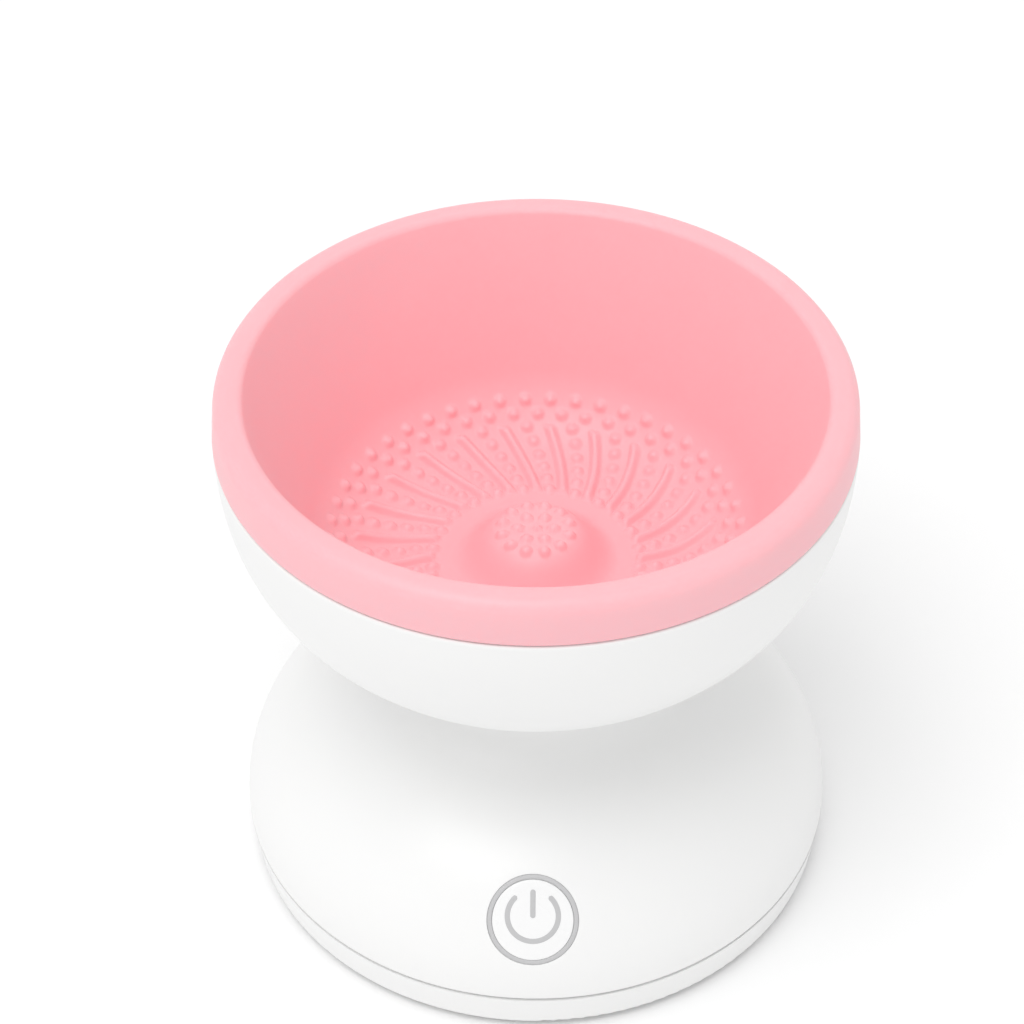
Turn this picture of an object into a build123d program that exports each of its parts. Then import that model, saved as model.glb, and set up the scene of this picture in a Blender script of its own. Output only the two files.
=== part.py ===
"""Electric make-up brush cleaner: a silicone washing cup that spins in a bowl on a waisted base.

Millimetres, +Z up. The origin is the centre of the footprint, on the plane the four feet stand on.
The front, with the power button, faces -Y. The charging socket faces +Y.
"""

import os
from math import acos, cos, degrees, hypot, pi, radians, sin, tan

from build123d import *

os.makedirs("parts", exist_ok=True)

# ---------------------------------------------------------------- driving dimensions
# Body
FOOT_STANDOFF = 1.2  # how far the feet hold the base plate off the table
BASE_RADIUS = 58.0  # dome, at the seam with the base plate
PLATE_RADIUS = 56.9  # base plate, at its underside
SEAM_Z = 9.1  # top of the base plate's wall
SEAM_GAP = 0.5  # open line between base plate and dome
DOME_HEIGHT = 35.0  # of the whole dome curve, whose top the neck replaces
NECK_RADIUS = 23.0
NECK_Z = 52.0  # joint between dome and bowl, in the middle of the neck
BOWL_RADIUS = 58.5  # bowl, at its rim
BOWL_RIM_Z = 102.8
BOWL_DEPTH = 43.7  # of the whole bowl curve, whose bottom the neck replaces
WALL = 2.2  # moulded ABS walls
EDGE_ROUND = 0.4  # visible edges of the mouldings

# Exponents of the two body curves: (r / radius) ** across + (drop / depth) ** down = 1
BOWL_ACROSS, DOME_ACROSS, CURVE_DOWN = 3.2, 2.0, 2.2

# Washing cup
CUP_TOP_Z = 111.8
LIP_RADIUS = 58.0
LIP_INNER_RADIUS = 52.3
LIP_THICK = 3.3
LIP_OUTER_ROUND, LIP_INNER_ROUND, LIP_INNER_ARC = 2.6, 1.6, 1.68
SKIRT_THICK, SKIRT_CLEARANCE = 1.5, 0.4  # skirt of the lip, and its gap above the bowl rim
CUP_WALL = 2.6
CUP_FLOOR_Z, CUP_FLOOR_THICK = 69.0, 3.0
CUP_CORNER_RADIUS = 19.0  # inside, between wall and floor
CUP_LEAN = radians(20.5)  # lean of the wall from the vertical
DOME_TOP_RADIUS, DOME_FOOT_RADIUS, DOME_TOP_Z = 7.5, 16.0, 76.5  # raised middle of the cup
HUB_FLANGE_RADIUS, HUB_FLANGE_THICK = 14.0, 2.0
HUB_BOSS_RADIUS, HUB_BOSS_TOP_Z, HUB_ROUND = 8.5, 74.0, 1.0

# Drive line
SHAFT_RADIUS, SHAFT_BOTTOM_Z, SHAFT_TOP_Z = 2.5, 23.3, 71.0
DOG_ACROSS_FLATS, DOG_CLEARANCE = 9.0, 0.3  # hexagon that turns the cup
DOG_BOTTOM_Z, DOG_TOP_Z = 65.9, 71.6
FIT = 0.03  # radial clearance of a running fit
CHASSIS_Z, CHASSIS_THICK, CHASSIS_RADIUS, CHASSIS_FRONT = 22.0, 2.2, 39.0, 34.0
PRESSURE_ANGLE = radians(20)
BACKLASH = 0.1  # taken off each tooth's thickness
ADDENDUM, DEDENDUM, FLANK_STEPS = 0.9, 1.2, 4  # tooth tip and root, by the module
FIRST_MODULE, WHEEL_TEETH, MOTOR_PINION_TEETH = 0.5, 42, 14
SECOND_MODULE, OUTPUT_TEETH, IDLER_PINION_TEETH = 0.6, 48, 14
IDLER_BEARING, MOTOR_BEARING = 150.0, 285.0  # shaft to idler, idler to motor, degrees
WHEEL_Z, WHEEL_THICK = 24.9, 3.0
OUTPUT_Z, OUTPUT_THICK = 28.9, 3.4
GEARBOX_TOP_Z, GEARBOX_WALL = 34.6, 1.5
AXLE_RADIUS = 1.5

# Motor, a 24.4 mm can
MOTOR_RADIUS, MOTOR_BOTTOM_Z, MOTOR_SKIN = 12.2, 6.2, 0.9
MOTOR_SHAFT_RADIUS = 1.0
MOTOR_SCREW_BEARING, MOTOR_SCREW_REACH = 135.0, 8.5

# Power button, on an axis square to the dome
BUTTON_RISE = 16.4  # height of its centre above the seam
BUTTON_RADIUS, BUTTON_HOLE_RADIUS, BUTTON_TRAVEL = 7.6, 8.6, 0.8
SYMBOL_RADIUS, SYMBOL_LINE, SYMBOL_GAP = 4.75, 1.0, 39.0  # arc's centre line, width, half gap
SYMBOL_LIFT, SYMBOL_DEPTH = 0.85, 0.5
BAR_LENGTH, BAR_LIFT = 5.3, 2.3  # upright bar, and its middle above the arc's centre
SWITCH_DEPTH, SWITCH_SIZE, SWITCH_HEIGHT = 7.0, 6.2, 3.5

# Charging socket, USB-C
USB_Z, USB_WIDTH, USB_HEIGHT, USB_LENGTH = 13.8, 8.94, 3.26, 7.3
USB_FACE_Y = 56.4
BOARD_THICK = 1.6

# Screws: shank and head radius, and head height
SCREW = (1.25, 2.6, 1.6)
SMALL_SCREW = (0.9, 1.8, 1.1)
SCREW_CLEARANCE, SMALL_CLEARANCE, BOARD_CLEARANCE = 0.4, 0.3, 0.2  # radial, round a shank
CROSS_LENGTH, CROSS_WIDTH = 1.1, 0.5  # cross recess, by head radius and by shank radius
BASE_SCREW_CIRCLE, NECK_SCREW_CIRCLE, CHASSIS_SCREW_CIRCLE = 44.0, 15.0, 35.0
LUG_CIRCLE, IDLER_LUG_CIRCLE = 19.5, 15.5  # gearbox lugs, about the shaft and about the idler
LEAD_RADIUS = 0.6
LEAD_CORNER = 0.45  # share of the shorter run that a corner's arc takes


# ---------------------------------------------------------------- shared shapes
def curve_points(curve, drops, inset=0.0):
    """Points (r, z) on a body curve, moved inwards by inset, square to the curve."""
    radius, depth, across, rim_z, sense = curve
    points = []
    for drop in drops:
        rest = 1 - drop**CURVE_DOWN
        r = radius * rest ** (1 / across)
        slope = -radius / across * rest ** (1 / across - 1) * CURVE_DOWN * drop ** (CURVE_DOWN - 1)
        length = hypot(slope, depth)
        z = rim_z + sense * depth * drop
        points.append((r - inset * depth / length, z + inset * sense * slope / length))
    return points


def around(radius, bearing, centre=(0.0, 0.0)):
    """Point at a radius and a bearing in degrees from a centre."""
    return centre[0] + radius * cos(radians(bearing)), centre[1] + radius * sin(radians(bearing))


def gear_outline(module, teeth, centre, turn):
    """Closed outline of an involute spur gear with a tooth centred on the bearing turn."""
    pitch_r = module * teeth / 2
    base_r = pitch_r * cos(PRESSURE_ANGLE)
    tip_r, root_r = pitch_r + ADDENDUM * module, pitch_r - DEDENDUM * module
    half = (pi * module / 2 - BACKLASH) / (2 * pitch_r)
    half += tan(PRESSURE_ANGLE) - PRESSURE_ANGLE
    start_r = max(base_r, root_r)
    flank = []
    for step in range(FLANK_STEPS + 1):
        r = start_r + (tip_r - start_r) * step / FLANK_STEPS
        roll = acos(base_r / r)
        flank.append((r, half - (tan(roll) - roll)))
    side = [(root_r, flank[0][1])] + flank if root_r < start_r else flank
    tooth = [(r, -angle) for r, angle in side] + [(r, angle) for r, angle in reversed(side)]
    points = []
    for index in range(teeth):
        bearing = radians(turn) + 2 * pi * index / teeth
        for r, angle in tooth:
            x, y = r * cos(bearing + angle), r * sin(bearing + angle)
            points.append((centre[0] + x, centre[1] + y))
    return points


def screw(bearing_plane, spots, length, size):
    """Pan-head screws whose heads bear on a plane, with their shanks along its normal."""
    shank_r, head_r, head_height = size
    with BuildPart(mode=Mode.PRIVATE) as screws:
        with BuildSketch(bearing_plane):
            with Locations(*spots):
                Circle(shank_r)
        extrude(amount=length)
        with BuildSketch(bearing_plane):
            with Locations(*spots):
                Circle(head_r)
        extrude(amount=-head_height)
        with BuildSketch(bearing_plane.offset(-head_height)):
            with Locations(*spots):
                Rectangle(head_r * CROSS_LENGTH, shank_r * CROSS_WIDTH)
                Rectangle(shank_r * CROSS_WIDTH, head_r * CROSS_LENGTH)
        extrude(amount=head_height / 2, mode=Mode.SUBTRACT)
    return screws


def lead(*route):
    """Insulated wire along a route, with each corner as large an arc as its runs allow."""
    points = [Vector(*point) for point in route]
    radii = []
    for before, here, after in zip(points, points[1:], points[2:]):
        turn = radians((here - before).get_angle(after - here))
        shorter = min((here - before).length, (after - here).length)
        radii.append(LEAD_CORNER * shorter / tan(turn / 2))
    with BuildPart(mode=Mode.PRIVATE) as wire:
        with BuildLine() as path:
            FilletPolyline(*points, radius=radii)
        with BuildSketch(Plane(origin=path.line @ 0, z_dir=path.line % 0)):
            Circle(LEAD_RADIUS)
        sweep()
    print("lead radii", [round(radius, 1) for radius in radii])
    full_volume = pi * LEAD_RADIUS**2 * path.wire().length
    print("volume over section times length", round(wire.part.volume / full_volume, 3))
    return wire


BOWL = (BOWL_RADIUS, BOWL_DEPTH, BOWL_ACROSS, BOWL_RIM_Z, -1)
DOME = (BASE_RADIUS, DOME_HEIGHT, DOME_ACROSS, SEAM_Z, 1)
BOWL_DROPS = (0.0, 0.15, 0.3, 0.45, 0.6, 0.72, 0.82, 0.9, 0.94)
DOME_DROPS = (0.0, 0.15, 0.3, 0.45, 0.6, 0.72, 0.8, 0.86)
NECK_LOW_Z, NECK_HIGH_Z = NECK_Z - 3.5, NECK_Z + 2.5  # where the neck runs straight

idler_centre = around(SECOND_MODULE * (OUTPUT_TEETH + IDLER_PINION_TEETH) / 2, IDLER_BEARING)
motor_centre = around(
    FIRST_MODULE * (WHEEL_TEETH + MOTOR_PINION_TEETH) / 2, MOTOR_BEARING, idler_centre
)
chassis_top_z = CHASSIS_Z + CHASSIS_THICK

button_drop = BUTTON_RISE / DOME_HEIGHT
(button_r, button_z), = curve_points(DOME, (button_drop,))
(inner_r, inner_z), = curve_points(DOME, (button_drop,), WALL)
button_plane = Plane(
    origin=(0, -button_r, button_z), x_dir=(1, 0, 0), z_dir=(0, inner_r - button_r, button_z - inner_z)
)

base_screw_spots = [around(BASE_SCREW_CIRCLE, 45 + 90 * k) for k in range(4)]
neck_screw_spots = [around(NECK_SCREW_CIRCLE, 45 + 90 * k) for k in range(4)]
chassis_screw_spots = [around(CHASSIS_SCREW_CIRCLE, 90 + 120 * k) for k in range(3)]
lug_spots = [around(LUG_CIRCLE, bearing) for bearing in (38, -62)]
lug_spots.append(around(IDLER_LUG_CIRCLE, 215, idler_centre))
motor_screw_spots = [
    around(MOTOR_SCREW_REACH, MOTOR_SCREW_BEARING + turn, motor_centre) for turn in (0, 180)
]

# ---------------------------------------------------------------- washing cup and its hub
cup_bottom_z = CUP_FLOOR_Z - CUP_FLOOR_THICK
corner_z = CUP_FLOOR_Z + CUP_CORNER_RADIUS
wall_foot_z = corner_z - CUP_CORNER_RADIUS * sin(CUP_LEAN)
lip_round_z = CUP_TOP_Z - LIP_INNER_ROUND
wall_foot_r = LIP_INNER_RADIUS - (lip_round_z - wall_foot_z) * tan(CUP_LEAN)
corner_r = wall_foot_r - CUP_CORNER_RADIUS * cos(CUP_LEAN)
lip_under_z = CUP_TOP_Z - LIP_THICK
wall_top_r = LIP_INNER_RADIUS - (lip_round_z - lip_under_z) * tan(CUP_LEAN) + CUP_WALL / cos(CUP_LEAN)
skirt_z = BOWL_RIM_Z + SKIRT_CLEARANCE

with BuildPart() as hub_blank:
    with BuildSketch(Plane.XY.offset(cup_bottom_z)):
        Circle(HUB_FLANGE_RADIUS)
    extrude(amount=HUB_FLANGE_THICK)
    with BuildSketch(Plane.XY.offset(cup_bottom_z)):
        Circle(HUB_BOSS_RADIUS)
    extrude(amount=HUB_BOSS_TOP_Z - cup_bottom_z)
    fillet(hub_blank.edges().group_by(Axis.Z)[-1], HUB_ROUND)

with BuildPart() as cup_hub:
    add(hub_blank.part)
    with BuildSketch(Plane.XY.offset(cup_bottom_z)):
        RegularPolygon(DOG_ACROSS_FLATS / 2 + DOG_CLEARANCE, 6, major_radius=False)
    extrude(amount=DOG_TOP_Z + DOG_CLEARANCE - cup_bottom_z, mode=Mode.SUBTRACT)
cup_hub.part.label = "cup_hub"
export_step(cup_hub.part, "parts/cup_hub.step")

with BuildPart() as washing_cup:
    with BuildSketch(Plane.XZ):
        with BuildLine():
            dome_top = Line((0, DOME_TOP_Z), (DOME_TOP_RADIUS, DOME_TOP_Z))
            dome_side = Spline(
                dome_top @ 1, (DOME_FOOT_RADIUS, CUP_FLOOR_Z), tangents=((1, 0), (1, 0))
            )
            floor = Line(dome_side @ 1, (corner_r, CUP_FLOOR_Z))
            corner = CenterArc(
                (corner_r, corner_z), CUP_CORNER_RADIUS, -90, 90 - degrees(CUP_LEAN)
            )
            wall = Line(corner @ 1, (LIP_INNER_RADIUS, lip_round_z))
            inner_round = RadiusArc(
                wall @ 1, (LIP_INNER_RADIUS + LIP_INNER_ROUND, CUP_TOP_Z), LIP_INNER_ARC
            )
            top = Line(inner_round @ 1, (LIP_RADIUS - LIP_OUTER_ROUND, CUP_TOP_Z))
            outer_round = CenterArc(
                (LIP_RADIUS - LIP_OUTER_ROUND, CUP_TOP_Z - LIP_OUTER_ROUND), LIP_OUTER_ROUND, 90, -90
            )
            skirt = Line(outer_round @ 1, (BOWL_RADIUS, skirt_z))
            skirt_edge = Line(skirt @ 1, (BOWL_RADIUS - SKIRT_THICK, skirt_z))
            skirt_inside = Line(skirt_edge @ 1, (LIP_RADIUS - SKIRT_THICK, lip_under_z))
            channel = Line(skirt_inside @ 1, (wall_top_r, lip_under_z))
            outer_corner = CenterArc(
                (corner_r, corner_z),
                CUP_CORNER_RADIUS + CUP_WALL,
                -degrees(CUP_LEAN),
                degrees(CUP_LEAN) - 90,
            )
            outside = Line(channel @ 1, outer_corner @ 0)
            underside = Line(outer_corner @ 1, (corner_r, cup_bottom_z))
            under_floor = Line(underside @ 1, (0, cup_bottom_z))
            Line(under_floor @ 1, dome_top @ 0)
        make_face()
    revolve(axis=Axis.Z)
    add(hub_blank.part, mode=Mode.SUBTRACT)
washing_cup.part.label = "washing_cup"
export_step(washing_cup.part, "parts/washing_cup.step")

# ---------------------------------------------------------------- bowl
inner_bowl = curve_points(BOWL, BOWL_DROPS, WALL)
bowl_floor_z = inner_bowl[-1][1]
floor_under_z = bowl_floor_z - WALL
neck_inner_r = NECK_RADIUS - WALL
BUSH_RADIUS, BUSH_FLANGE_RADIUS, BUSH_FLANGE_THICK = 4.5, 6.0, 1.0
UPPER_BUSH_Z, UPPER_BUSH_TOP_Z = 53.5, 62.0
SEAL_RADIUS, SEAL_TOP_Z = 6.5, 65.0
COLLAR_RADIUS, COLLAR_TOP_Z = 9.0, 65.5
BOSS_RADIUS, BOSS_ROOF = 3.2, 1.0  # neck bosses, and what is left above their pilot holes
BOWL_RIM_ROUND = 0.5

with BuildPart() as bowl_shell:
    with BuildSketch(Plane.XZ):
        with BuildLine():
            outside = Spline(
                *curve_points(BOWL, BOWL_DROPS),
                (NECK_RADIUS, NECK_HIGH_Z),
                tangents=((0, -1), (0, -1)),
            )
            neck = Line(outside @ 1, (NECK_RADIUS, NECK_Z))
            joint_face = Line(neck @ 1, (neck_inner_r, NECK_Z))
            neck_inside = Line(joint_face @ 1, (neck_inner_r, floor_under_z))
            under = Line(neck_inside @ 1, (COLLAR_RADIUS, floor_under_z))
            collar_out = Line(under @ 1, (COLLAR_RADIUS, UPPER_BUSH_Z))
            collar_end = Line(collar_out @ 1, (BUSH_RADIUS, UPPER_BUSH_Z))
            collar_bore = Line(collar_end @ 1, (BUSH_RADIUS, UPPER_BUSH_TOP_Z - BUSH_FLANGE_THICK))
            flange_seat = Line(
                collar_bore @ 1, (BUSH_FLANGE_RADIUS, UPPER_BUSH_TOP_Z - BUSH_FLANGE_THICK)
            )
            flange_side = Line(flange_seat @ 1, (BUSH_FLANGE_RADIUS, UPPER_BUSH_TOP_Z))
            seal_seat = Line(flange_side @ 1, (SEAL_RADIUS, UPPER_BUSH_TOP_Z))
            seal_side = Line(seal_seat @ 1, (SEAL_RADIUS, COLLAR_TOP_Z))
            collar_top = Line(seal_side @ 1, (COLLAR_RADIUS, COLLAR_TOP_Z))
            collar_side = Line(collar_top @ 1, (COLLAR_RADIUS, bowl_floor_z))
            floor = Line(collar_side @ 1, inner_bowl[-1])
            inside = Spline(*reversed(inner_bowl))
            Line(inside @ 1, outside @ 0)
        make_face()
    revolve(axis=Axis.Z)
    with BuildSketch(Plane.XY.offset(NECK_Z)):
        with Locations(*neck_screw_spots):
            Circle(BOSS_RADIUS)
    extrude(amount=floor_under_z - NECK_Z)
    with BuildSketch(Plane.XY.offset(NECK_Z)):
        with Locations(*neck_screw_spots):
            Circle(SCREW[0])
    extrude(amount=floor_under_z - NECK_Z - BOSS_ROOF, mode=Mode.SUBTRACT)
    rim = bowl_shell.edges().filter_by(GeomType.CIRCLE).group_by(Axis.Z)[-1]
    fillet(rim, BOWL_RIM_ROUND)
bowl_shell.part.label = "bowl_shell"
export_step(bowl_shell.part, "parts/bowl_shell.step")

# ---------------------------------------------------------------- base dome
FLANGE_THICK = 2.2  # flange across the top of the neck
FLANGE_HOLE_RADIUS = 11.5
SPIGOT_CLEARANCE, SPIGOT_INNER, SPIGOT_HEIGHT = 0.1, 19.0, 2.0
GUIDE_RADIUS, GUIDE_DEPTH = 10.3, 6.0  # tube that guides the button
POST_RADIUS, POST_REACH = 2.2, 12.2  # posts that carry the switch board
PLATE_BOSS_TOP_Z = 6.0
COVER_BOSS_RADIUS = 3.6
BASE_PILOT, CHASSIS_PILOT, SWITCH_PILOT = 12.0, 6.0, 5.0  # depths of the pilot holes
PLUG_WIDTH, PLUG_HEIGHT, PLUG_ROUND, PLUG_DEPTH = 12.6, 6.4, 3.1, 5.0  # room for the plug's grip
SOCKET_MARGIN, SOCKET_HOLE_ROUND, SOCKET_HOLE_DEPTH = 0.5, 1.8, 10.0  # hole for the socket
inner_dome = curve_points(DOME, DOME_DROPS, WALL)
switch_board_depth = SWITCH_DEPTH + SWITCH_HEIGHT

with BuildPart() as dome_blank:
    with BuildSketch(Plane.XZ):
        with BuildLine():
            outside = Spline(
                *curve_points(DOME, DOME_DROPS), (NECK_RADIUS, NECK_LOW_Z), tangents=((0, 1), (0, 1))
            )
            neck = Line(outside @ 1, (NECK_RADIUS, NECK_Z))
            top = Line(neck @ 1, (0, NECK_Z))
            axis_line = Line(top @ 1, (0, SEAM_Z))
            Line(axis_line @ 1, outside @ 0)
        make_face()
    revolve(axis=Axis.Z)

with BuildPart() as dome_room:
    with BuildSketch(Plane.XZ):
        with BuildLine():
            inside = Spline(*inner_dome, (neck_inner_r, NECK_LOW_Z), tangents=((0, 1), (0, 1)))
            neck = Line(inside @ 1, (neck_inner_r, NECK_Z - FLANGE_THICK))
            ceiling = Line(neck @ 1, (0, NECK_Z - FLANGE_THICK))
            axis_line = Line(ceiling @ 1, (0, SEAM_Z))
            Line(axis_line @ 1, inside @ 0)
        make_face()
    revolve(axis=Axis.Z)

with BuildPart() as cover_bosses:
    with BuildSketch(Plane.XY.offset(PLATE_BOSS_TOP_Z)):
        with Locations(*base_screw_spots):
            Circle(COVER_BOSS_RADIUS)
    extrude(amount=NECK_Z - PLATE_BOSS_TOP_Z)
    with BuildSketch(Plane.XY.offset(chassis_top_z)):
        with Locations(*chassis_screw_spots):
            Circle(COVER_BOSS_RADIUS)
    extrude(amount=NECK_Z - chassis_top_z)
    with BuildSketch(button_plane.offset(-GUIDE_DEPTH)):
        Circle(GUIDE_RADIUS)
    extrude(amount=2 * GUIDE_DEPTH)
    with BuildSketch(button_plane.offset(-switch_board_depth)):
        with Locations((-POST_REACH, 0), (POST_REACH, 0)):
            Circle(POST_RADIUS)
    extrude(amount=2 * switch_board_depth)

with BuildPart() as boss_limit:
    add(dome_blank.part)
    with BuildSketch(Plane.XY.offset(PLATE_BOSS_TOP_Z)):
        Circle(BASE_RADIUS - WALL)
    extrude(amount=SEAM_Z - PLATE_BOSS_TOP_Z)

with BuildPart() as base_cover:
    add(dome_blank.part)
    add(dome_room.part, mode=Mode.SUBTRACT)
    with BuildSketch(Plane.XY.offset(SEAM_Z)):
        Circle(BASE_RADIUS + WALL)
    extrude(amount=SEAM_GAP, mode=Mode.SUBTRACT)
    fillet(base_cover.edges().group_by(Axis.Z)[0].sort_by(SortBy.LENGTH)[-1], EDGE_ROUND)
    add(cover_bosses.part.intersect(boss_limit.part))
    with BuildSketch(Plane.XY.offset(NECK_Z)):
        Circle(neck_inner_r - SPIGOT_CLEARANCE)
        Circle(SPIGOT_INNER, mode=Mode.SUBTRACT)
    extrude(amount=SPIGOT_HEIGHT)
    with BuildSketch(Plane.XY.offset(NECK_Z)):
        Circle(FLANGE_HOLE_RADIUS)
        with Locations(*neck_screw_spots):
            Circle(SCREW[0] + SCREW_CLEARANCE)
    extrude(amount=-FLANGE_THICK, mode=Mode.SUBTRACT)
    with BuildSketch(Plane.XY.offset(PLATE_BOSS_TOP_Z)):
        with Locations(*base_screw_spots):
            Circle(SCREW[0])
    extrude(amount=BASE_PILOT, mode=Mode.SUBTRACT)
    with BuildSketch(Plane.XY.offset(chassis_top_z)):
        with Locations(*chassis_screw_spots):
            Circle(SCREW[0])
    extrude(amount=CHASSIS_PILOT, mode=Mode.SUBTRACT)
    with BuildSketch(button_plane.offset(-switch_board_depth)):
        Circle(BUTTON_HOLE_RADIUS)
    extrude(amount=2 * switch_board_depth, mode=Mode.SUBTRACT)
    with BuildSketch(button_plane.offset(-switch_board_depth)):
        with Locations((-POST_REACH, 0), (POST_REACH, 0)):
            Circle(SMALL_SCREW[0])
    extrude(amount=SWITCH_PILOT, mode=Mode.SUBTRACT)
    with BuildSketch(Plane.XZ.offset(-USB_FACE_Y)):
        with Locations((0, USB_Z)):
            RectangleRounded(PLUG_WIDTH, PLUG_HEIGHT, PLUG_ROUND)
    extrude(amount=-PLUG_DEPTH, mode=Mode.SUBTRACT)
    with BuildSketch(Plane.XZ.offset(PLUG_DEPTH - USB_FACE_Y)):
        with Locations((0, USB_Z)):
            RectangleRounded(USB_WIDTH + SOCKET_MARGIN, USB_HEIGHT + SOCKET_MARGIN, SOCKET_HOLE_ROUND)
    extrude(amount=-SOCKET_HOLE_DEPTH, mode=Mode.SUBTRACT)
base_cover.part.label = "base_cover"
export_step(base_cover.part, "parts/base_cover.step")

# ---------------------------------------------------------------- base plate and feet
PLATE_FLOOR_Z, PLATE_ROUND = 3.2, 1.2
TONGUE_OUTER, TONGUE_INNER, TONGUE_TOP_Z = 55.4, 53.7, 12.4  # inside the dome's wall
TONGUE_GAP_WIDTH, TONGUE_GAP_LENGTH = 14.94, 16.0  # cut in the tongue for the socket
PLATE_BOSS_RADIUS, HEAD_CLEARANCE, STANDOFF_PILOT = 4.5, 0.3, 4.5
FOOT_RADIUS, FOOT_RECESS, FOOT_CLEARANCE, FOOT_ROUND = 7.0, 0.8, 0.1, 0.5
PLATE_HEAD_Z = 3.9  # where the screw heads bear, inside the plate's bosses
STANDOFF_RADIUS = 2.6
BASE_SCREW_LENGTH, NECK_SCREW_LENGTH = 11.0, 9.0
board_bottom_z = USB_Z - USB_HEIGHT / 2 - BOARD_THICK
board_top_z = board_bottom_z + BOARD_THICK
board_screw_spots = [(x, y) for x in (-11.5, 11.5) for y in (33.5, 48.0)]

with BuildPart() as base_plate:
    with BuildSketch(Plane.XZ):
        with BuildLine():
            Polyline(
                (0, FOOT_STANDOFF),
                (PLATE_RADIUS, FOOT_STANDOFF),
                (BASE_RADIUS, SEAM_Z),
                (TONGUE_OUTER, SEAM_Z),
                (TONGUE_OUTER, TONGUE_TOP_Z),
                (TONGUE_INNER, TONGUE_TOP_Z),
                (TONGUE_INNER, PLATE_FLOOR_Z),
                (0, PLATE_FLOOR_Z),
                close=True,
            )
        make_face()
    revolve(axis=Axis.Z)
    fillet(base_plate.edges().filter_by(GeomType.CIRCLE).group_by(Axis.Z)[0], PLATE_ROUND)
    with BuildSketch(Plane.XY.offset(PLATE_FLOOR_Z)):
        with Locations(*base_screw_spots):
            Circle(PLATE_BOSS_RADIUS)
    extrude(amount=PLATE_BOSS_TOP_Z - PLATE_FLOOR_Z)
    with BuildSketch(Plane.XY.offset(PLATE_FLOOR_Z)):
        with Locations(*board_screw_spots):
            Circle(STANDOFF_RADIUS)
    extrude(amount=board_bottom_z - PLATE_FLOOR_Z)
    with BuildSketch(Plane.XY.offset(board_bottom_z)):
        with Locations(*board_screw_spots):
            Circle(SMALL_SCREW[0])
    extrude(amount=-STANDOFF_PILOT, mode=Mode.SUBTRACT)
    with BuildSketch(Plane.XY.offset(FOOT_STANDOFF)):
        with Locations(*base_screw_spots):
            Circle(FOOT_RADIUS + FOOT_CLEARANCE)
    extrude(amount=FOOT_RECESS, mode=Mode.SUBTRACT)
    with BuildSketch(Plane.XY.offset(FOOT_STANDOFF)):
        with Locations(*base_screw_spots):
            Circle(SCREW[1] + HEAD_CLEARANCE)
    extrude(amount=PLATE_HEAD_Z - FOOT_STANDOFF, mode=Mode.SUBTRACT)
    with BuildSketch(Plane.XY.offset(FOOT_STANDOFF)):
        with Locations(*base_screw_spots):
            Circle(SCREW[0] + SCREW_CLEARANCE)
    extrude(amount=PLATE_BOSS_TOP_Z - FOOT_STANDOFF, mode=Mode.SUBTRACT)
    with BuildSketch(Plane.XY.offset(SEAM_Z)):
        with Locations((0, BASE_RADIUS)):
            Rectangle(TONGUE_GAP_WIDTH, TONGUE_GAP_LENGTH)
    extrude(amount=TONGUE_TOP_Z - SEAM_Z, mode=Mode.SUBTRACT)
base_plate.part.label = "base_plate"
export_step(base_plate.part, "parts/base_plate.step")

with BuildPart() as foot_pads:
    with BuildSketch(Plane.XY):
        with Locations(*base_screw_spots):
            Circle(FOOT_RADIUS)
    extrude(amount=FOOT_STANDOFF + FOOT_RECESS)
    fillet(foot_pads.edges().group_by(Axis.Z)[0], FOOT_ROUND)
foot_pads.part.label = "foot_pads"
export_step(foot_pads.part, "parts/foot_pads.step")

base_screws = screw(Plane.XY.offset(PLATE_HEAD_Z), base_screw_spots, BASE_SCREW_LENGTH, SCREW)
base_screws.part.label = "base_screws"
export_step(base_screws.part, "parts/base_screws.step")

neck_screw_plane = Plane.XY.offset(NECK_Z - FLANGE_THICK)
neck_screws = screw(neck_screw_plane, neck_screw_spots, NECK_SCREW_LENGTH, SCREW)
neck_screws.part.label = "neck_screws"
export_step(neck_screws.part, "parts/neck_screws.step")

# ---------------------------------------------------------------- gearbox chassis and cover
LOWER_BOSS_RADIUS, LOWER_BOSS_TOP_Z, LOWER_BUSH_RADIUS = 6.0, 28.1, 4.0
MOTOR_BOSS_RADIUS, MOTOR_BOSS_HEIGHT = 3.0, 1.8
LUG_RADIUS, LUG_PILOT = 3.4, 8.0
BUSH_FLOOR, COVER_HOLE_MARGIN, SINK_MARGIN = 1.0, 1.0, 0.2
CHASSIS_SCREW_LENGTH, GEARBOX_SCREW_LENGTH = 7.5, 8.0
OUTPUT_ROOM, WHEEL_ROOM, PINION_ROOM = 17.0, 13.0, 6.5  # radii inside the gearbox cover
gearbox_rings = ((OUTPUT_ROOM, (0.0, 0.0)), (WHEEL_ROOM, idler_centre), (PINION_ROOM, motor_centre))
lower_bush_z = CHASSIS_Z + BUSH_FLOOR
output_top_z = OUTPUT_Z + OUTPUT_THICK
gearbox_ceiling_z = GEARBOX_TOP_Z - GEARBOX_WALL

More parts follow.
